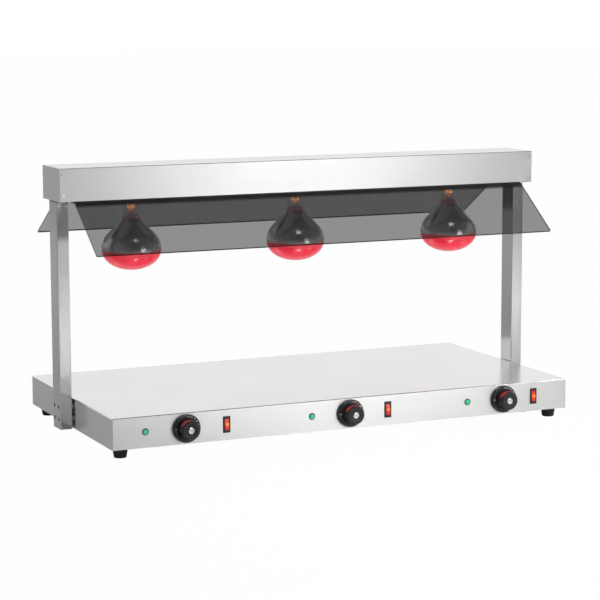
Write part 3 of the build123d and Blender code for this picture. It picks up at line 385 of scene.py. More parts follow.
def brushed_steel(name, direction, tone, rough, front_rough, anisotropy):
    """Sheet brushed along a direction where the face allows it, rougher in front and smoother in bends."""
    material, tree, shader = new_material(name)
    geometry = add_node(tree, "ShaderNodeNewGeometry")
    along_x, along_y, along_z = facing_shares(tree, geometry.outputs["Normal"])
    lines = grain_lines(tree, direction)
    side_lines = grain_lines(tree, "Y" if direction == "X" else "Z")
    choose = add_node(tree, "ShaderNodeMix")
    tree.links.new(arithmetic(tree, "GREATER_THAN", along_x, 0.7), choose.inputs["Factor"])
    tree.links.new(lines, choose.inputs["A"])
    tree.links.new(side_lines, choose.inputs["B"])
    brush = choose.outputs["Result"]
    smudges = noise(tree, (9.0, 9.0, 9.0), 4.0)
    tone_map = colours(tree, brush, (0.3, grey(tone * 0.97)), (0.7, (tone * 1.02, tone * 1.02, tone * 1.015)))
    tree.links.new(tone_map, shader.inputs["Base Color"])
    fronts = arithmetic(tree, "GREATER_THAN", along_y, 0.97)
    flatness = arithmetic(tree, "MAXIMUM", arithmetic(tree, "MAXIMUM", along_x, along_y), along_z)
    wear = arithmetic(
        tree, "ADD",
        between(tree, fronts, rough, front_rough, 0.0, 1.0),
        arithmetic(tree, "ADD", between(tree, brush, -0.02, 0.02), between(tree, smudges, -0.006, 0.008)),
    )
    smoothed = arithmetic(tree, "MULTIPLY", wear, between(tree, flatness, 0.6, 1.0, 0.95, 0.99))
    tree.links.new(smoothed, shader.inputs["Roughness"])
    shader.inputs["Metallic"].default_value = 1.0
    shader.inputs["Anisotropic"].default_value = anisotropy
    across = add_node(tree, "ShaderNodeVectorMath", operation="CROSS_PRODUCT")
    across.inputs[1].default_value = (1.0, 0.02, 0.0) if direction == "X" else (0.0, 0.02, 1.0)
    tree.links.new(geometry.outputs["Normal"], across.inputs[0])
    tree.links.new(across.outputs["Vector"], shader.inputs["Tangent"])
    raise_surface(tree, shader, brush, BRUSH_RELIEF, BRUSH_DEPTH)
    return material


def object_height(tree):
    parts = add_node(tree, "ShaderNodeSeparateXYZ")
    tree.links.new(object_place(tree, (1.0, 1.0, 1.0)), parts.inputs["Vector"])
    return parts.outputs["Z"]


def smoked_acrylic(name):
    """Polished smoked sheet: each face holds back part of the light, and painted shade makes the top of the sheet
    darker where it is bent.
    """
    material, tree, shader = new_material(name)
    haze = noise(tree, (14.0, 14.0, 14.0), 5.0)
    tree.links.new(colours(tree, haze, (0.3, grey(0.006)), (0.7, grey(0.012))), shader.inputs["Base Color"])
    tree.links.new(between(tree, haze, 0.02, 0.06), shader.inputs["Roughness"])
    shader.inputs["IOR"].default_value = ACRYLIC_IOR
    shader.inputs["Specular IOR Level"].default_value = 0.4
    height = object_height(tree)
    # Painted shade: more of the near-black sheet shows near the top, at the bend
    veil_and_painted_shade = between(tree, height, SHIELD_VEIL, SHIELD_BEND_PAINTED_SHADE, SHIELD_PAINTED_SHADE_START, SHIELD_PAINTED_SHADE_END)
    tree.links.new(veil_and_painted_shade, shader.inputs["Alpha"])
    return material


def silvered_glass(name, silver, rough, film_metal):
    """Clear glass with a satin mirror film inside, which leaks a little light and thins out up the neck."""
    material, tree, shader = new_material(name)
    streaks = noise(tree, (30.0, 30.0, 12.0), 5.0)
    tint = colours(tree, streaks, (0.3, shade(silver, 0.8)), (0.7, silver))
    tree.links.new(tint, shader.inputs["Base Color"])
    tree.links.new(between(tree, streaks, rough, rough + 0.07), shader.inputs["Roughness"])
    clear = between(tree, object_height(tree), 0.0, 1.0, FILM_FADE_START, FILM_FADE_END)
    film = arithmetic(tree, "SUBTRACT", 1.0, clear)
    tree.links.new(arithmetic(tree, "MULTIPLY", film, film_metal), shader.inputs["Metallic"])
    edge = add_node(tree, "ShaderNodeLayerWeight")
    edge.inputs["Blend"].default_value = 0.5
    open_share = between(tree, edge.outputs["Facing"], 0.9, 0.25, 0.6, 1.0)
    leak = arithmetic(tree, "MULTIPLY", film, FILM_LEAK)
    tree.links.new(arithmetic(tree, "MULTIPLY", leak, streaks), shader.inputs["Emission Strength"])
    hole = arithmetic(tree, "MULTIPLY", clear, open_share)
    tree.links.new(arithmetic(tree, "SUBTRACT", 1.0, hole), shader.inputs["Alpha"])
    return material


def ruby_face(name):
    """Red glass lit from behind, warmer in the middle and deeper towards the rim."""
    material, tree, shader = new_material(name)
    reach = between(tree, distance_from_axis(tree, "Z"), 0.0, 1.0, 0.0, LAMP_RADIUS)
    cloud = between(tree, noise(tree, (35.0, 35.0, 35.0), 4.0), -0.06, 0.06)
    depth = arithmetic(tree, "ADD", reach, cloud)
    glow = colours(
        tree, depth,
        (0.0, (1.0, 0.15, 0.2)),
        (0.55, (1.0, 0.1, 0.15)),
        (0.9, (1.0, 0.065, 0.11)),
        (1.0, (0.75, 0.03, 0.055)),
    )
    tree.links.new(glow, shader.inputs["Emission Color"])
    shader.inputs["Emission Strength"].default_value = 0.62
    tint = colours(tree, depth, (0.2, (0.82, 0.03, 0.05)), (1.0, (0.6, 0.008, 0.02)))
    tree.links.new(tint, shader.inputs["Base Color"])
    tree.links.new(between(tree, cloud, 0.06, 0.13, -0.06, 0.06), shader.inputs["Roughness"])
    shader.inputs["Coat Weight"].default_value = 0.6
    shader.inputs["Coat Roughness"].default_value = 0.04
    return material


def lit_glass(name, colour, glow, strength, rough, size):
    """Coloured glass that lets light through, with slow changes of depth."""
    material, tree, shader = new_material(name)
    depth = noise(tree, (1.0 / size,) * 3, 4.0)
    tint = colours(tree, depth, (0.3, shade(colour, 0.75)), (0.7, colour))
    tree.links.new(tint, shader.inputs["Base Color"])
    tree.links.new(between(tree, depth, rough, rough + ROUGHNESS_SWING), shader.inputs["Roughness"])
    shine = colours(tree, depth, (0.25, shade(glow, 0.85)), (0.75, glow))
    tree.links.new(shine, shader.inputs["Emission Color"])
    shader.inputs["Emission Strength"].default_value = strength
    shader.inputs["Coat Weight"].default_value = 0.4
    shader.inputs["Coat Roughness"].default_value = 0.05
    return material


def distance_from_axis(tree, axis):
    """Distance of a point from one of the object's own axes."""
    scale = [1.0, 1.0, 1.0]
    scale["XYZ".index(axis)] = 0.0
    length = add_node(tree, "ShaderNodeVectorMath", operation="LENGTH")
    tree.links.new(object_place(tree, scale), length.inputs[0])
    return length.outputs["Value"]


def turned_metal(name, colour, rough, ring_width):
    """Bright metal turned about its own Z, with fine rings."""
    material, tree, shader = new_material(name)
    radius = distance_from_axis(tree, "Z")
    wave = arithmetic(tree, "SINE", arithmetic(tree, "MULTIPLY", radius, math.tau / ring_width), 0.0)
    rings = between(tree, wave, 0.0, 1.0, -1.0, 1.0)
    tint = colours(tree, rings, (0.0, shade(colour, 0.92)), (1.0, colour))
    tree.links.new(tint, shader.inputs["Base Color"])
    tree.links.new(between(tree, rings, rough, rough + 0.05, 0.0, 1.0), shader.inputs["Roughness"])
    shader.inputs["Metallic"].default_value = 1.0
    raise_surface(tree, shader, rings, 0.15, 0.0001)
    return material


def rocker_plastic(name):
    """Clear red plastic with a small neon lamp behind its middle."""
    material, tree, shader = new_material(name)
    reach = distance_from_axis(tree, "Y")
    share = between(tree, reach, 0.0, 1.0, 0.0, ROCKER_GLOW_REACH)
    glow = colours(
        tree, share,
        (0.0, (1.0, 0.85, 0.18)),
        (0.14, (1.0, 0.42, 0.05)),
        (0.36, (0.72, 0.05, 0.015)),
        (1.0, (0.4, 0.006, 0.008)),
    )
    grain = noise(tree, (500.0, 500.0, 500.0))
    tree.links.new(glow, shader.inputs["Emission Color"])
    shader.inputs["Emission Strength"].default_value = 0.7
    tint = colours(tree, grain, (0.3, (0.4, 0.008, 0.008)), (0.7, (0.5, 0.014, 0.012)))
    tree.links.new(tint, shader.inputs["Base Color"])
    tree.links.new(between(tree, grain, 0.16, 0.26), shader.inputs["Roughness"])
    return material


def make_materials():
    """Looks by material slot, and by name for details. Mottled ones say colour, roughness and grain size."""
    return {
        "stainless_sheet": brushed_steel("brushed_sheet", "X", 0.68, 0.23, 0.38, 0.75),
        # The base is the bridge's steel in a lighter copy: its extra brightness is painted light
        "base_sheet_painted_light": brushed_steel("brushed_base_painted_light", "X", 0.75, 0.23, 0.38, 0.75),
        "post_tube": brushed_steel("brushed_tube", "Z", 0.68, 0.18, 0.18, 0.65),
        "plain_sheet": mottled("zinc_sheet", (0.5, 0.51, 0.52), 0.42, 0.004, metallic=1.0, relief=0.05),
        # This black is painted shade: it darkens the post-top brackets to stand for the shadow in the gap under
        # the bridge
        "black_steel": mottled("black_painted_shade", (0.012, 0.012, 0.012), 0.5, 0.001),
        "bright_fasteners": plated_metal("bright_plating", (0.9, 0.9, 0.88), 0.26),
        "black_rubber": mottled("moulded_rubber", (0.016, 0.016, 0.017), 0.62, 0.0007, relief=0.35),
        "heater_sheath": mottled(
            "tinted_tube", (0.33, 0.27, 0.22), 0.45, 0.003, metallic=1.0, variation=0.25,
        ),
        "mineral_board": mottled("mineral_fibre", (0.72, 0.7, 0.62), 0.9, 0.002, relief=0.6),
        "black_plastic": mottled("satin_plastic", (0.014, 0.014, 0.015), 0.38, 0.0005, relief=0.12),
        "cream_plastic": mottled("cream_moulding", (0.7, 0.65, 0.5), 0.5, 0.001, variation=0.05),
        "copper_capillary": mottled("drawn_copper", (0.72, 0.36, 0.22), 0.3, 0.001, metallic=1.0),
        "cable_sleeve": mottled("woven_sleeve", (0.07, 0.07, 0.075), 0.8, 0.0012, relief=0.6),
        "chrome_trim": turned_metal("turned_chrome", (0.82, 0.82, 0.83), 0.14, 0.0006),
        "red_rocker": rocker_plastic("lit_red_plastic"),
        "green_lens": lit_glass("green_lens", (0.04, 0.55, 0.26), (0.04, 0.62, 0.3), 0.4, 0.1, 0.002),
        "smoked_acrylic": smoked_acrylic("smoked_sheet"),
        "smoked_edge": mottled("smoked_cut_edge", (0.006, 0.006, 0.007), 0.2, 0.002, relief=0.05),
        "lamp_glass": ruby_face("ruby_face"),
        "lamp_mirror": silvered_glass("silvered_glass", (0.84, 0.84, 0.86), 0.18, 0.85),
        "lamp_cap_metal": mottled("pressed_brass", (0.72, 0.56, 0.28), 0.28, 0.002, metallic=1.0),
        "lamp_wire": mottled("nickel_wire", (0.5, 0.45, 0.4), 0.3, 0.0008, metallic=1.0),
        "lamp_stem": mottled("stem_glass", (0.28, 0.24, 0.22), 0.12, 0.002),
        # The coil is no lamp: its glow is painted light, standing for the filament's light reflected on it
        "lamp_glow": lit_glass("coil_painted_glow", (0.8, 0.3, 0.08), (1.0, 0.26, 0.05), 1.6, 0.2, 0.004),
        "lamp_filament": lit_glass("glowing_filament", (0.8, 0.4, 0.1), (1.0, 0.36, 0.07), 5.0, 0.2, 0.004),
        "white_ceramic": mottled(
            "glazed_ceramic", (0.8, 0.78, 0.73), 0.22, 0.003, variation=0.04, relief=0.04,
        ),
        "white_print": mottled("white_print", (0.82, 0.82, 0.8), 0.5, 0.0006, variation=0.05),
        "red_print": mottled("red_print", (0.62, 0.03, 0.03), 0.42, 0.0006),
    }


materials = make_materials()


def paint_cad_nodes():
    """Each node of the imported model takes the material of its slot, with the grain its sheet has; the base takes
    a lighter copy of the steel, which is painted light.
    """
    grains = {"post_left": "post_tube", "post_right": "post_tube", "base_housing": "base_sheet_painted_light"}
    for subpart in frame["record"]["subparts"]:
        node = subpart["node"]
        mesh = frame["nodes"][node].data
        mesh.materials.clear()
        mesh.materials.append(materials[grains.get(node, subpart["material_slot"])])


# Mesh helpers

def link_mesh(name, bm, slots, sharp=35.0):
    """Object with smooth faces, kept sharp at clear edges."""
    bmesh.ops.recalc_face_normals(bm, faces=bm.faces)
    mesh = bpy.data.meshes.new(name)
    bm.to_mesh(mesh)
    bm.free()
    for slot in slots:
        mesh.materials.append(materials[slot])
    mesh.shade_smooth()
    mesh.set_sharp_from_angle(angle=math.radians(sharp))
    piece = bpy.data.objects.new(name, mesh)
    bpy.context.scene.collection.objects.link(piece)
    return piece


def settle(piece, body, slot, *replaced):
    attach(piece, body)
    if replaced:
        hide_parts(*replaced)
    return piece


def rounded(corners, steps=6):
    """Outline through (radius, height, rounding) corners, each one softened by its rounding."""
    points = []
    for index, (radius, height, rounding) in enumerate(corners):
        corner = Vector((radius, height))
        if rounding <= 0.0 or index in (0, len(corners) - 1):
            points.append(corner)
            continue
        before = Vector(corners[index - 1][:2]) - corner
        after = Vector(corners[index + 1][:2]) - corner
        reach = rounding * math.tan((math.pi - before.angle(after)) / 2)
        start = corner + before.normalized() * reach
        end = corner + after.normalized() * reach
        for step in range(steps + 1):
            share = step / steps
            points.append(start.lerp(corner, share).lerp(corner.lerp(end, share), share))
    return points


def add_lathe(bm, bands, segments=96, flutes=0, flute_depth=0.0, closed=False):
    """Turns outlines about Z. Each band is (points, material index) and starts where the last one ended."""
    first_ring = None
    last_ring = None
    for points, slot_index in bands:
        for point in points:
            ring = lathe_ring(bm, point, segments, flutes, flute_depth)
            if last_ring is not None:
                join_rings(bm, last_ring, ring, slot_index)
            first_ring = first_ring or ring
            last_ring = ring
    if closed:
        join_rings(bm, last_ring, first_ring, bands[-1][1])


def lathe_ring(bm, point, segments, flutes, flute_depth):
    radius, height = point
    if radius < 1e-7:
        return [bm.verts.new((0.0, 0.0, height))]
    ring = []
    for index in range(segments):
        angle = math.tau * index / segments
        reach = radius - flute_depth * (0.5 - 0.5 * math.cos(flutes * angle))
        ring.append(bm.verts.new((reach * math.cos(angle), reach * math.sin(angle), height)))
    return ring


def join_rings(bm, lower, upper, slot_index):
    count = max(len(lower), len(upper))
    for index in range(count):
        following = (index + 1) % count
        corners = [lower[index % len(lower)], lower[following % len(lower)],
                   upper[following % len(upper)], upper[index % len(upper)]]
        unique = list(dict.fromkeys(corners))
        if len(unique) > 2:
            bm.faces.new(unique).material_index = slot_index


def add_outline_prism(bm, outline, half_width):
    """Prism of a Y and Z outline along X."""
    sides = []
    for x in (-half_width, half_width):
        ring = [bm.verts.new((x, y, z)) for y, z in outline]
        bm.faces.new(ring)
        sides.append(ring)
    for index in range(len(outline)):
        following = (index + 1) % len(outline)
        bm.faces.new((sides[0][index], sides[0][following], sides[1][following], sides[1][index]))


def add_bevel(piece, width, segments=3):
    bevel = piece.modifiers.new("soft_edges", "BEVEL")
    bevel.width = width
    bevel.segments = segments
    bevel.limit_method = "ANGLE"
    bevel.angle_limit = math.radians(40)
    bevel.harden_normals = True


def paint_new_faces(bm, known, slot_index):
    """Gives a material to the faces that were added after the first known ones."""
    bm.faces.ensure_lookup_table()
    for face in bm.faces[known:]:
        face.material_index = slot_index


def add_text(bm, words, size, thickness, matrix, slot_index):
    """Raised letters from a text curve, placed by a matrix."""
    curve = bpy.data.curves.new("letters", "FONT")
    curve.body = words
    curve.size = size
    curve.extrude = thickness / 2
    curve.align_x = "CENTER"
    curve.align_y = "CENTER"
    holder = bpy.data.objects.new("letters", curve)
    mesh = bpy.data.meshes.new_from_object(holder)
    mesh.transform(matrix)
    known = len(bm.faces)
    bm.from_mesh(mesh)
    paint_new_faces(bm, known, slot_index)
    bpy.data.objects.remove(holder)
    bpy.data.curves.remove(curve)
    bpy.data.meshes.remove(mesh)


def wire(name, points, thickness, slot):
    """Round wire along points."""
    curve = bpy.data.curves.new(name, "CURVE")
    curve.dimensions = "3D"
    curve.bevel_depth = thickness / 2
    curve.bevel_resolution = 3
    curve.use_fill_caps = True
    spline = curve.splines.new("POLY")
    spline.points.add(len(points) - 1)
    for place, point in zip(spline.points, points):
        place.co = (*point, 1.0)
    curve.materials.append(materials[slot])
    piece = bpy.data.objects.new(name, curve)
    bpy.context.scene.collection.objects.link(piece)
    return piece


# Knobs

def around(radius, clock_degrees, height):
    """Matrix of a place on the dial, measured clockwise from the top."""
    turn = Matrix.Rotation(-math.radians(clock_degrees), 4, "Z")
    return turn @ Matrix.Translation((0.0, radius, height))


def knob_outline():
    """Knob from its hollow back round the skirt and up the grip to the ring for the cap."""
    grip_base = KNOB_GRIP_RADIUS + KNOB_GRIP_FLARE
    skirt_top = KNOB_SKIRT_THICKNESS
    skirt_edge = KNOB_SKIRT_RADIUS
    return rounded([
        (KNOB_BORE, KNOB_BACK_HOLLOW, 0.0),
        (skirt_edge - 2.5 * MM, KNOB_BACK_HOLLOW, 0.0),
        (skirt_edge - 2.2 * MM, 0.0, 0.0),
        (skirt_edge, 0.0, 0.6 * MM),
        (skirt_edge, skirt_top - 1.4 * MM, 0.8 * MM),
        (skirt_edge - 1.6 * MM, skirt_top - 0.2 * MM, 1.0 * MM),
        (grip_base + 1.5 * MM, skirt_top, 0.3 * MM),
        (grip_base + 0.9 * MM, skirt_top - KNOB_GROOVE_DEPTH, 0.2 * MM),
        (grip_base + 0.1 * MM, skirt_top - KNOB_GROOVE_DEPTH, 0.2 * MM),
        (grip_base, skirt_top + 0.4 * MM, 0.3 * MM),
        (KNOB_GRIP_RADIUS + 0.3 * MM, KNOB_LENGTH - 3.0 * MM, 1.2 * MM),
        (KNOB_GRIP_RADIUS - 2.0 * MM, KNOB_LENGTH, 1.4 * MM),
        (KNOB_RING_RADIUS + 0.6 * MM, KNOB_LENGTH - 0.5 * MM, 0.4 * MM),
        (KNOB_RING_RADIUS, KNOB_LENGTH - 1.0 * MM, 0.3 * MM),
        (KNOB_RING_RADIUS - 0.2 * MM, KNOB_LENGTH - KNOB_RING_DEPTH, 0.3 * MM),
        (KNOB_CAP_RADIUS - 0.6 * MM, KNOB_LENGTH - KNOB_RING_DEPTH, 0.0),
    ])


def heat_band_section(bm, share):
    """Cross section of the red wedge at a share of its length, with two corners sunk into the grip."""
    angle = math.radians(HEAT_BAND_START + (HEAT_BAND_END - HEAT_BAND_START) * share)
    top = KNOB_LENGTH - HEAT_BAND_FRONT
    bottom = top - HEAT_BAND_NARROW - (HEAT_BAND_WIDE - HEAT_BAND_NARROW) * (1 - share)
    outline = (
        (bottom, -HEAT_BAND_SINK),
        (bottom, HEAT_BAND_LIFT),
        (top, HEAT_BAND_LIFT),
        (top, -HEAT_BAND_SINK),
    )
    corners = []
    for height, lift in outline:
        lean = (height - KNOB_SKIRT_THICKNESS) / (KNOB_LENGTH - KNOB_SKIRT_THICKNESS)
        radius = KNOB_GRIP_RADIUS + KNOB_GRIP_FLARE * (1 - lean) + lift
        corners.append(bm.verts.new((radius * math.sin(angle), radius * math.cos(angle), height)))
    return corners


def add_heat_band(bm, slot_index):
    """Red wedge on the side of the grip, widest at its left end."""
    steps = 28
    sections = [heat_band_section(bm, step / steps) for step in range(steps + 1)]
    for section in (sections[0], sections[-1]):
        bm.faces.new(section).material_index = slot_index
    for section, following in zip(sections, sections[1:]):
        join_rings(bm, section, following, slot_index)


def add_off_mark(bm, slot_index):
    """Short raised line that points to the middle of the dial."""
    known = len(bm.faces)
    place = around((OFF_MARK_INNER + OFF_MARK_OUTER) / 2, OFF_MARK_ANGLE, KNOB_SKIRT_THICKNESS)
    size = Matrix.Diagonal((OFF_MARK_WIDTH, OFF_MARK_OUTER - OFF_MARK_INNER, OFF_MARK_THICKNESS, 1.0))
    bmesh.ops.create_cube(bm, size=1.0, matrix=place @ size)
    paint_new_faces(bm, known, slot_index)


def add_dial_numbers(bm, slot_index):
    """Temperatures on the skirt, from the hottest near the top clockwise to the coolest."""
    for index, degrees in enumerate(range(DIAL_HOTTEST, DIAL_COOLEST - 1, -DIAL_DEGREES)):
        place = around(DIAL_NUMBER_RADIUS, DIAL_START + DIAL_STEP * index, KNOB_SKIRT_THICKNESS)
        add_text(bm, str(degrees), DIAL_NUMBER_SIZE, DIAL_PRINT_THICKNESS, place, slot_index)


def knob_body(zone):
    """Knob with its printed dial and the red band."""
    bm = bmesh.new()
    add_lathe(bm, [(knob_outline(), 0)], segments=128, closed=True)
    add_dial_numbers(bm, 1)
    add_off_mark(bm, 1)
    add_heat_band(bm, 2)
    piece = link_mesh(f"knob_body_{zone}", bm, ("black_plastic", "white_print", "red_print"))
    piece.matrix_world = knob_frame(zone)
    return settle(piece, f"knob_{zone}", "black_plastic", f"knob_{zone}")


def knob_frame(zone):
    """Place of a knob's back, with its own Z out of the panel."""
    pivot = Matrix.Translation(PIVOTS[f"knob_{zone}_turn"])
    return pivot @ TO_FRONT @ Matrix.Translation((0.0, 0.0, KNOB_GAP))


def add_slotted_disc(bm, top, bottom):
    """Two half discs with a slanting driver slot between them."""
    slant = math.radians(SLOT_SLANT)
    start = math.asin(SLOT_HALF_WIDTH / SLOT_DISC_RADIUS)
    steps = 24
    for turn in (slant, slant + math.pi):
        outline = []
        for step in range(steps + 1):
            angle = turn + start + (math.pi - 2 * start) * step / steps
            outline.append((SLOT_DISC_RADIUS * math.cos(angle), SLOT_DISC_RADIUS * math.sin(angle)))
        upper = [bm.verts.new((x, y, top)) for x, y in outline]
        lower = [bm.verts.new((x, y, bottom)) for x, y in outline]
        bm.faces.new(upper)
        bm.faces.new(lower)
        for index in range(len(outline)):
            following = (index + 1) % len(outline)
            bm.faces.new((lower[index], lower[following], upper[following], upper[index]))


def knob_button(zone):
    """Turned chrome button with a driver slot in the middle of the knob."""
    front = KNOB_LENGTH - KNOB_CAP_RECESS
    back = KNOB_LENGTH - KNOB_RING_DEPTH - KNOB_CAP_ROOT
    outline = rounded([
        (0.0, back, 0.0),
        (KNOB_CAP_RADIUS, back, 0.0),
        (KNOB_CAP_RADIUS, front - 0.6 * MM, 0.0),
        (KNOB_CAP_RADIUS - 0.8 * MM, front, 0.7 * MM),
        (DISH_RIM, front - 0.1 * MM, 0.2 * MM),
        (DISH_RADIUS, front - DISH_WALL, 0.1 * MM),
        (0.0, front - DISH_DEPTH, 0.0),
    ])
    bm = bmesh.new()
    add_lathe(bm, [(outline, 0)], segments=64)
    add_slotted_disc(bm, front - SLOT_DISC_DROP, front - DISH_DEPTH)
    piece = link_mesh(f"knob_button_{zone}", bm, ("chrome_trim",))
    piece.matrix_world = knob_frame(zone)
    return settle(piece, f"knob_{zone}", "chrome_trim", f"knob_cap_{zone}")


# Rockers and pilot lights

def rocker_outline():
    """Side view of a rocker: two slightly hollow faces that meet in a ridge."""
    end_depth = ROCKER_RIDGE - ROCKER_HALF_HEIGHT * math.tan(math.radians(ROCKER_TILT))
    steps = 10
    face = []
    for step in range(-steps, steps + 1):
        share = step / steps
        depth = ROCKER_RIDGE + (end_depth - ROCKER_RIDGE) * abs(share)
        depth -= ROCKER_HOLLOW * math.sin(math.pi * abs(share))
        face.append((-depth, share * ROCKER_HALF_HEIGHT))
    back_height = ROCKER_HALF_HEIGHT - ROCKER_BACK_INSET
    return face + [(ROCKER_BACK, back_height), (ROCKER_BACK, -back_height)]


def rocker(zone):
    """Rocker with soft edges, its upper end pressed in."""
    bm = bmesh.new()
    add_outline_prism(bm, rocker_outline(), ROCKER_HALF_WIDTH)
    piece = link_mesh(f"rocker_face_{zone}", bm, ("red_rocker",), sharp=25.0)
    add_bevel(piece, ROCKER_EDGE)
    tilt = Matrix.Rotation(-math.radians(ROCKER_TILT), 4, "X")
    piece.matrix_world = Matrix.Translation(PIVOTS[f"rocker_{zone}_tip"]) @ tilt
    return settle(piece, f"rocker_{zone}", "red_rocker", f"rocker_{zone}")


def pilot_lens(zone):
    """Domed lens with rings moulded into it."""
    low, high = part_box("pilot_lenses")
    lens_x = PIVOTS[f"knob_{zone}_turn"].x - LENS_FROM_KNOB
    centre_z = (low.z + high.z) / 2
    outline = [
        Vector((0.0, -LENS_SINK)),
        Vector((LENS_RADIUS, -LENS_SINK)),
        Vector((LENS_RADIUS, LENS_RIM)),
    ]
    steps = 24
    for step in range(steps, -1, -1):
        radius = LENS_DOME_SHARE * LENS_RADIUS * step / steps
        dome = LENS_HEIGHT * (1 - (radius / LENS_RADIUS) ** 2)
        groove = LENS_RING_DEPTH * (step % LENS_RING_STEPS == 0)
        outline.append(Vector((radius, dome - groove)))
    bm = bmesh.new()
    add_lathe(bm, [(outline, 0)], segments=48)
    piece = link_mesh(f"pilot_lens_{zone}", bm, ("green_lens",), sharp=60.0)
    piece.matrix_world = Matrix.Translation((lens_x, low.y + LENS_HEIGHT, centre_z)) @ TO_FRONT
    return settle(piece, "frame", "green_lens", "pilot_lenses")


# Shields

def shield_rows(side):
    """Rows of the sheet's upper face: (half width, distance from the middle, height)."""
    fall = math.radians(SHIELD_FALL[side])
    lower = (SHIELD_BEND + SHIELD_LENGTH * math.cos(fall), SHIELD_TOP - SHIELD_LENGTH * math.sin(fall))
    line = rounded([
        (SHIELD_FLANGE_END, SHIELD_TOP, 0.0),
        (SHIELD_BEND, SHIELD_TOP, SHIELD_BEND_RADIUS),
        (*lower, 0.0),
    ], steps=8)
    rows = [(SHIELD_HALF_WIDTH, *point) for point in line[:-1]]
    slope = Vector((math.cos(fall), -math.sin(fall)))
    steps = 10
    for step in range(steps + 1):
        angle = math.pi / 2 * step / steps
        back = SHIELD_CORNER * (1 - math.sin(angle))
        inset = SHIELD_CORNER * (1 - math.cos(angle))
        rows.append((SHIELD_HALF_WIDTH - inset, *(line[-1] - slope * back)))
    return rows


def shield(side):
    """Bent sheet with soft edges, thickened downwards from its upper face."""
    sign = -1.0 if side == "front" else 1.0
    bm = bmesh.new()
    last = None
    for half_width, reach, height in shield_rows(side):
        row = [bm.verts.new((x, sign * reach, height)) for x in (-half_width, half_width)]
        if last:
            bm.faces.new((last[0], last[1], row[1], row[0]))
        last = row
    piece = link_mesh(f"shield_sheet_{side}", bm, ("smoked_acrylic", "smoked_edge"))
    if piece.data.polygons[0].normal.z < 0:
        piece.data.flip_normals()
    sheet = piece.modifiers.new("sheet", "SOLIDIFY")
    sheet.thickness = SHIELD_SHEET
    sheet.offset = -1.0
    sheet.use_even_offset = True
    sheet.material_offset_rim = 1
    add_bevel(piece, SHIELD_EDGE, segments=2)
    return settle(piece, "frame", "smoked_acrylic", f"shield_{side}")


# Lamps

def face_outline():
    """Red bowl from its middle to the widest ring."""
    steps = 24
    points = []
    for step in range(steps + 1):
        angle = math.pi / 2 * step / steps
        points.append(Vector((LAMP_RADIUS * math.sin(angle), LAMP_FACE * (1 - math.cos(angle)))))
    return points


def bell_outline():
    """Silvered bell from the widest ring into the neck."""
    return rounded([
        (LAMP_RADIUS, LAMP_FACE, 0.0),
        (LAMP_RADIUS, LAMP_KNUCKLE, LAMP_RIM_BEND),
        (LAMP_NECK_RADIUS, LAMP_NECK_START, LAMP_NECK_BEND),
        (LAMP_NECK_RADIUS, LAMP_BELL_END, 0.0),
    ], steps=14)


def neck_outline():
    """Clear neck and its shoulder, closed at the top."""
    return rounded([
        (LAMP_NECK_RADIUS, LAMP_BELL_END, 0.0),
        (LAMP_NECK_RADIUS, LAMP_NECK_END, LAMP_SHOULDER_BEND),
        (LAMP_STEM_RADIUS, LAMP_SHOULDER_END, LAMP_STEM_BEND),
        (LAMP_STEM_RADIUS, LAMP_TOP, 0.0),
        (0.0, LAMP_TOP, 0.0),
    ], steps=8)


def lamp_place(zone):
    """Place of the lowest point of a lamp."""
    low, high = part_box(f"lamp_bulb_{zone}")
    return Matrix.Translation(((low.x + high.x) / 2, (low.y + high.y) / 2, low.z))


def lamp_bulb(zone):
    """Whole envelope: red face, raised seam, bell and neck."""
    seam = [Vector((LAMP_RADIUS + LAMP_SEAM_LIFT, height)) for height in (LAMP_SEAM_START, LAMP_SEAM_END)]
    bell = bell_outline()[1:]
    neck = neck_outline()[1:]
    bm = bmesh.new()
    add_lathe(bm, [(face_outline(), 0), (seam, 1), (bell, 1), (neck, 1)], segments=128)
    piece = link_mesh(f"lamp_envelope_{zone}", bm, ("lamp_glass", "lamp_mirror"), sharp=60.0)
    piece.matrix_world = lamp_place(zone)
    return settle(piece, "frame", "lamp_glass", f"lamp_bulb_{zone}")


def lamp_mount(zone):
    """Glass stem with its press, and the heat disc below it. Corners are radius, height and rounding."""
    stem = rounded([
        (0.0, 160.0 * MM, 0.0),
        (10.5 * MM, 160.0 * MM, 0.0),
        (9.0 * MM, 156.0 * MM, 2.0 * MM),
        (4.0 * MM, 150.0 * MM, 3.0 * MM),
        (3.6 * MM, 147.0 * MM, 1.0 * MM),
        (4.2 * MM, 144.5 * MM, 1.2 * MM),
        (2.6 * MM, 142.0 * MM, 1.0 * MM),
        (0.0, 141.5 * MM, 0.0),
    ])
    disc = rounded([
        (0.0, 106.4 * MM, 0.0),
        (12.0 * MM, 106.0 * MM, 2.0 * MM),
        (15.6 * MM, 104.4 * MM, 0.4 * MM),
        (15.4 * MM, 103.8 * MM, 0.2 * MM),
        (12.0 * MM, 105.2 * MM, 2.0 * MM),
        (0.0, 105.6 * MM, 0.0),
    ])
    bm = bmesh.new()
    add_lathe(bm, [(stem, 0)], segments=40)
    add_lathe(bm, [(disc, 1)], segments=48)
    piece = link_mesh(f"lamp_mount_{zone}", bm, ("lamp_stem", "lamp_wire"))
    piece.matrix_world = lamp_place(zone)
    return settle(piece, "frame", "lamp_cap_metal")


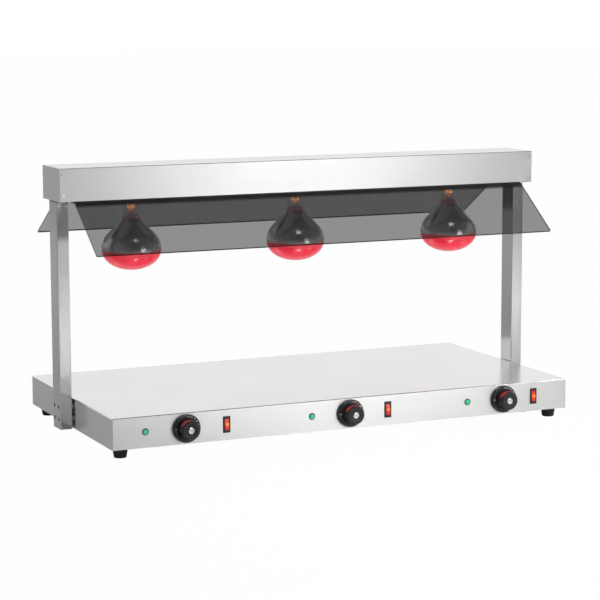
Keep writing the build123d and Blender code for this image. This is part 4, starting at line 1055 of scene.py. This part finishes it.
def lamp_coils(zone):
    """Glowing filament that zigzags round the neck, and the small coil under it, whose glow is painted light
    standing for the filament's light reflected on it.
    """
    steps = 72
    filament = []
    for step in range(steps + 1):
        angle = math.tau * step / steps
        height = FILAMENT_HEIGHT + FILAMENT_SWING * math.cos(FILAMENT_WAVES * angle)
        filament.append((FILAMENT_RADIUS * math.cos(angle), FILAMENT_RADIUS * math.sin(angle), height))
    turn_steps = 18
    coil = []
    for step in range(COIL_TURNS * turn_steps + 1):
        angle = math.tau * step / turn_steps
        height = COIL_HEIGHT + COIL_PITCH * step / turn_steps
        coil.append((COIL_RADIUS * math.cos(angle), COIL_RADIUS * math.sin(angle), height))
    for name, points, thickness, slot in (
        ("filament", filament, FILAMENT_WIRE, "lamp_filament"),
        ("coil", coil, COIL_WIRE, "lamp_glow"),
    ):
        piece = wire(f"lamp_{name}_{zone}", points, thickness, slot)
        piece.matrix_world = lamp_place(zone)
        settle(piece, "frame", "lamp_cap_metal")


def lamp_leads(zone):
    """Lead and support wires from the press past the filament and the coil to the heat disc."""
    for index in range(LEAD_COUNT):
        angle = math.radians(LEAD_START_ANGLE + 360.0 / LEAD_COUNT * index)
        points = []
        for reach, height in LEAD_PATH:
            points.append((reach * MM * math.cos(angle), reach * MM * math.sin(angle), height * MM))
        piece = wire(f"lamp_lead_{index}_{zone}", points, LEAD_WIRE, "lamp_wire")
        piece.matrix_world = lamp_place(zone)
        settle(piece, "frame", "lamp_cap_metal")


# Cable gland

def cable_gland():
    """Gland with a hexagon, a fluted dome nut and a rubber seal."""
    low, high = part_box("cable_gland")
    wall_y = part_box("base_housing")[1].y
    centre = Vector(((low.x + high.x) / 2, wall_y, (low.z + high.z) / 2))
    length = high.y - wall_y
    hexagon = rounded([
        (HEXAGON_BORE, HEXAGON_GAP, 0.0),
        (HEXAGON_RADIUS, HEXAGON_GAP, 0.4 * MM),
        (HEXAGON_RADIUS, 5.8 * MM, 0.8 * MM),
        (DOME_FOOT, HEXAGON_LENGTH, 0.0),
    ], steps=3)
    dome = rounded([
        (DOME_FOOT, HEXAGON_LENGTH, 0.0),
        (DOME_RADIUS, 6.6 * MM, 0.3 * MM),
        (DOME_RADIUS, length - 7.0 * MM, 2.0 * MM),
        (9.0 * MM, length - 1.0 * MM, 2.0 * MM),
        (7.2 * MM, length, 0.6 * MM),
        (6.6 * MM, length - 0.6 * MM, 0.3 * MM),
        (SEAL_RADIUS, length - SEAL_DROP, 0.0),
    ])
    seal = rounded([
        (0.0, SEAL_BACK, 0.0),
        (SEAL_RADIUS, SEAL_BACK, 0.0),
        (SEAL_RADIUS, length - SEAL_DROP, 0.0),
        (5.6 * MM, length - 1.6 * MM, 0.3 * MM),
        (SEAL_BORE, length - 2.4 * MM, 0.4 * MM),
        (SEAL_BORE, SEAL_FLOOR, 0.0),
        (0.0, SEAL_FLOOR, 0.0),
    ])
    bm = bmesh.new()
    add_lathe(bm, [(hexagon, 0)], segments=6, closed=True)
    add_lathe(bm, [(dome, 0)], segments=144, flutes=DOME_FLUTES, flute_depth=DOME_FLUTE_DEPTH, closed=True)
    add_lathe(bm, [(seal, 1)], segments=48)
    piece = link_mesh("gland_outside", bm, ("black_plastic", "black_rubber"))
    piece.matrix_world = Matrix.Translation(centre) @ TO_BACK
    return settle(piece, "frame", "black_plastic", "cable_gland")


# Studio

def add_floor():
    """Pale floor that is nearly white to the camera and through glass, and keeps a soft shadow."""
    material, tree, shader = new_material("studio_floor")
    haze = noise(tree, (0.6, 0.6, 0.6))
    tint = colours(tree, haze, (0.3, grey(FLOOR_TONE - 0.01)), (0.7, grey(FLOOR_TONE)))
    tree.links.new(tint, shader.inputs["Base Color"])
    shader.inputs["Roughness"].default_value = FLOOR_ROUGHNESS
    white = add_node(tree, "ShaderNodeEmission")
    path = add_node(tree, "ShaderNodeLightPath")
    seen = arithmetic(tree, "MULTIPLY", path.outputs["Is Camera Ray"], FLOOR_WHITE_SHARE)
    through = arithmetic(tree, "MULTIPLY", path.outputs["Is Transmission Ray"], FLOOR_WHITE_SHARE)
    mirrored = arithmetic(tree, "MULTIPLY", path.outputs["Is Glossy Ray"], GLOSS_WHITE_SHARE)
    share = arithmetic(tree, "MAXIMUM", arithmetic(tree, "MAXIMUM", seen, through), mirrored)
    mix = add_node(tree, "ShaderNodeMixShader")
    tree.links.new(share, mix.inputs["Fac"])
    tree.links.new(shader.outputs["BSDF"], mix.inputs[1])
    tree.links.new(white.outputs["Emission"], mix.inputs[2])
    tree.links.new(mix.outputs["Shader"], tree.nodes["Material Output"].inputs["Surface"])
    bm = bmesh.new()
    bmesh.ops.create_grid(bm, x_segments=1, y_segments=1, size=FLOOR_HALF)
    mesh = bpy.data.meshes.new("studio_floor")
    bm.to_mesh(mesh)
    bm.free()
    mesh.materials.append(material)
    floor = bpy.data.objects.new("studio_floor", mesh)
    bpy.context.scene.collection.objects.link(floor)


def add_world():
    """White to the camera, and to everything else a studio with bright walls behind and on the right."""
    world = bpy.data.worlds.new("studio")
    world.use_nodes = True
    tree = world.node_tree
    background = tree.nodes["Background"]
    background.inputs["Color"].default_value = (1.0, 1.0, 1.0, 1.0)
    coordinates = add_node(tree, "ShaderNodeTexCoord")
    parts = add_node(tree, "ShaderNodeSeparateXYZ")
    tree.links.new(coordinates.outputs["Generated"], parts.inputs["Vector"])
    behind = arithmetic(tree, "MULTIPLY", arithmetic(tree, "MAXIMUM", parts.outputs["Y"], 0.0), WORLD_BACK)
    beside = arithmetic(tree, "MULTIPLY", arithmetic(tree, "MAXIMUM", parts.outputs["X"], 0.0), WORLD_RIGHT)
    walls = arithmetic(tree, "ADD", arithmetic(tree, "ADD", behind, beside), WORLD_DARK)
    ceiling = between(tree, parts.outputs["Z"], 1.0, WORLD_ZENITH, WORLD_DIM_START, WORLD_DIM_END)
    room = arithmetic(tree, "MULTIPLY", walls, ceiling)
    path = add_node(tree, "ShaderNodeLightPath")
    seen = arithmetic(tree, "MAXIMUM", path.outputs["Is Camera Ray"], path.outputs["Is Transmission Ray"])
    mirrored = arithmetic(tree, "MULTIPLY", path.outputs["Is Glossy Ray"], GLOSS_WHITE_SHARE)
    level = arithmetic(tree, "MAXIMUM", arithmetic(tree, "ADD", room, mirrored), seen)
    tree.links.new(level, background.inputs["Strength"])
    bpy.context.scene.world = world


def add_soft_box(name, place, aim, radiance, size, spread):
    """Soft box of a width and height that shines from a place towards an aim."""
    light = bpy.data.lights.new(name, "AREA")
    light.shape = "RECTANGLE"
    light.size, light.size_y = size
    light.energy = radiance * math.pi * size[0] * size[1]
    light.spread = math.radians(spread)
    lamp = bpy.data.objects.new(name, light)
    lamp.location = place
    lamp.rotation_euler = (Vector(aim) - Vector(place)).to_track_quat("-Z", "Y").to_euler()
    lamp.visible_camera = False
    bpy.context.scene.collection.objects.link(lamp)


def add_lights():
    for name, place, aim, radiance in (
        ("floor_right", FLOOR_RIGHT_PLACE, FLOOR_RIGHT_AIM, FLOOR_RIGHT_LIGHT),
        ("floor_left", FLOOR_LEFT_PLACE, FLOOR_LEFT_AIM, FLOOR_LEFT_LIGHT),
    ):
        add_soft_box(name, place, aim, radiance, FLOOR_BOX_SIZE, FLOOR_BOX_SPREAD)
    add_soft_box("left_box", LEFT_PLACE, LEFT_AIM, LEFT_LIGHT, LEFT_SIZE, LEFT_SPREAD)
    add_soft_box("front_box", FRONT_PLACE, FRONT_AIM, FRONT_LIGHT, FRONT_SIZE, FRONT_SPREAD)


def add_camera():
    data = bpy.data.cameras.new("photo_camera")
    data.lens = CAMERA_LENS
    data.sensor_width = CAMERA_SENSOR
    data.clip_end = CAMERA_REACH
    camera = bpy.data.objects.new("photo_camera", data)
    turn = Matrix.Rotation(-math.radians(CAMERA_YAW), 4, "Z")
    tip = Matrix.Rotation(math.radians(90.0 - CAMERA_PITCH), 4, "X")
    roll = Matrix.Rotation(math.radians(CAMERA_ROLL), 4, "Z")
    camera.matrix_world = Matrix.Translation(CAMERA_PLACE) @ turn @ tip @ roll
    bpy.context.scene.collection.objects.link(camera)
    bpy.context.scene.camera = camera


add_camera()
add_floor()
add_world()
add_lights()
bpy.context.scene.view_settings.view_transform = "Standard"

paint_cad_nodes()
for zone_name in ZONES:
    knob_body(zone_name)
    knob_button(zone_name)
    rocker(zone_name)
    pilot_lens(zone_name)
    lamp_bulb(zone_name)
    lamp_mount(zone_name)
    lamp_coils(zone_name)
    lamp_leads(zone_name)
for shield_side in SHIELD_FALL:
    shield(shield_side)
cable_gland()
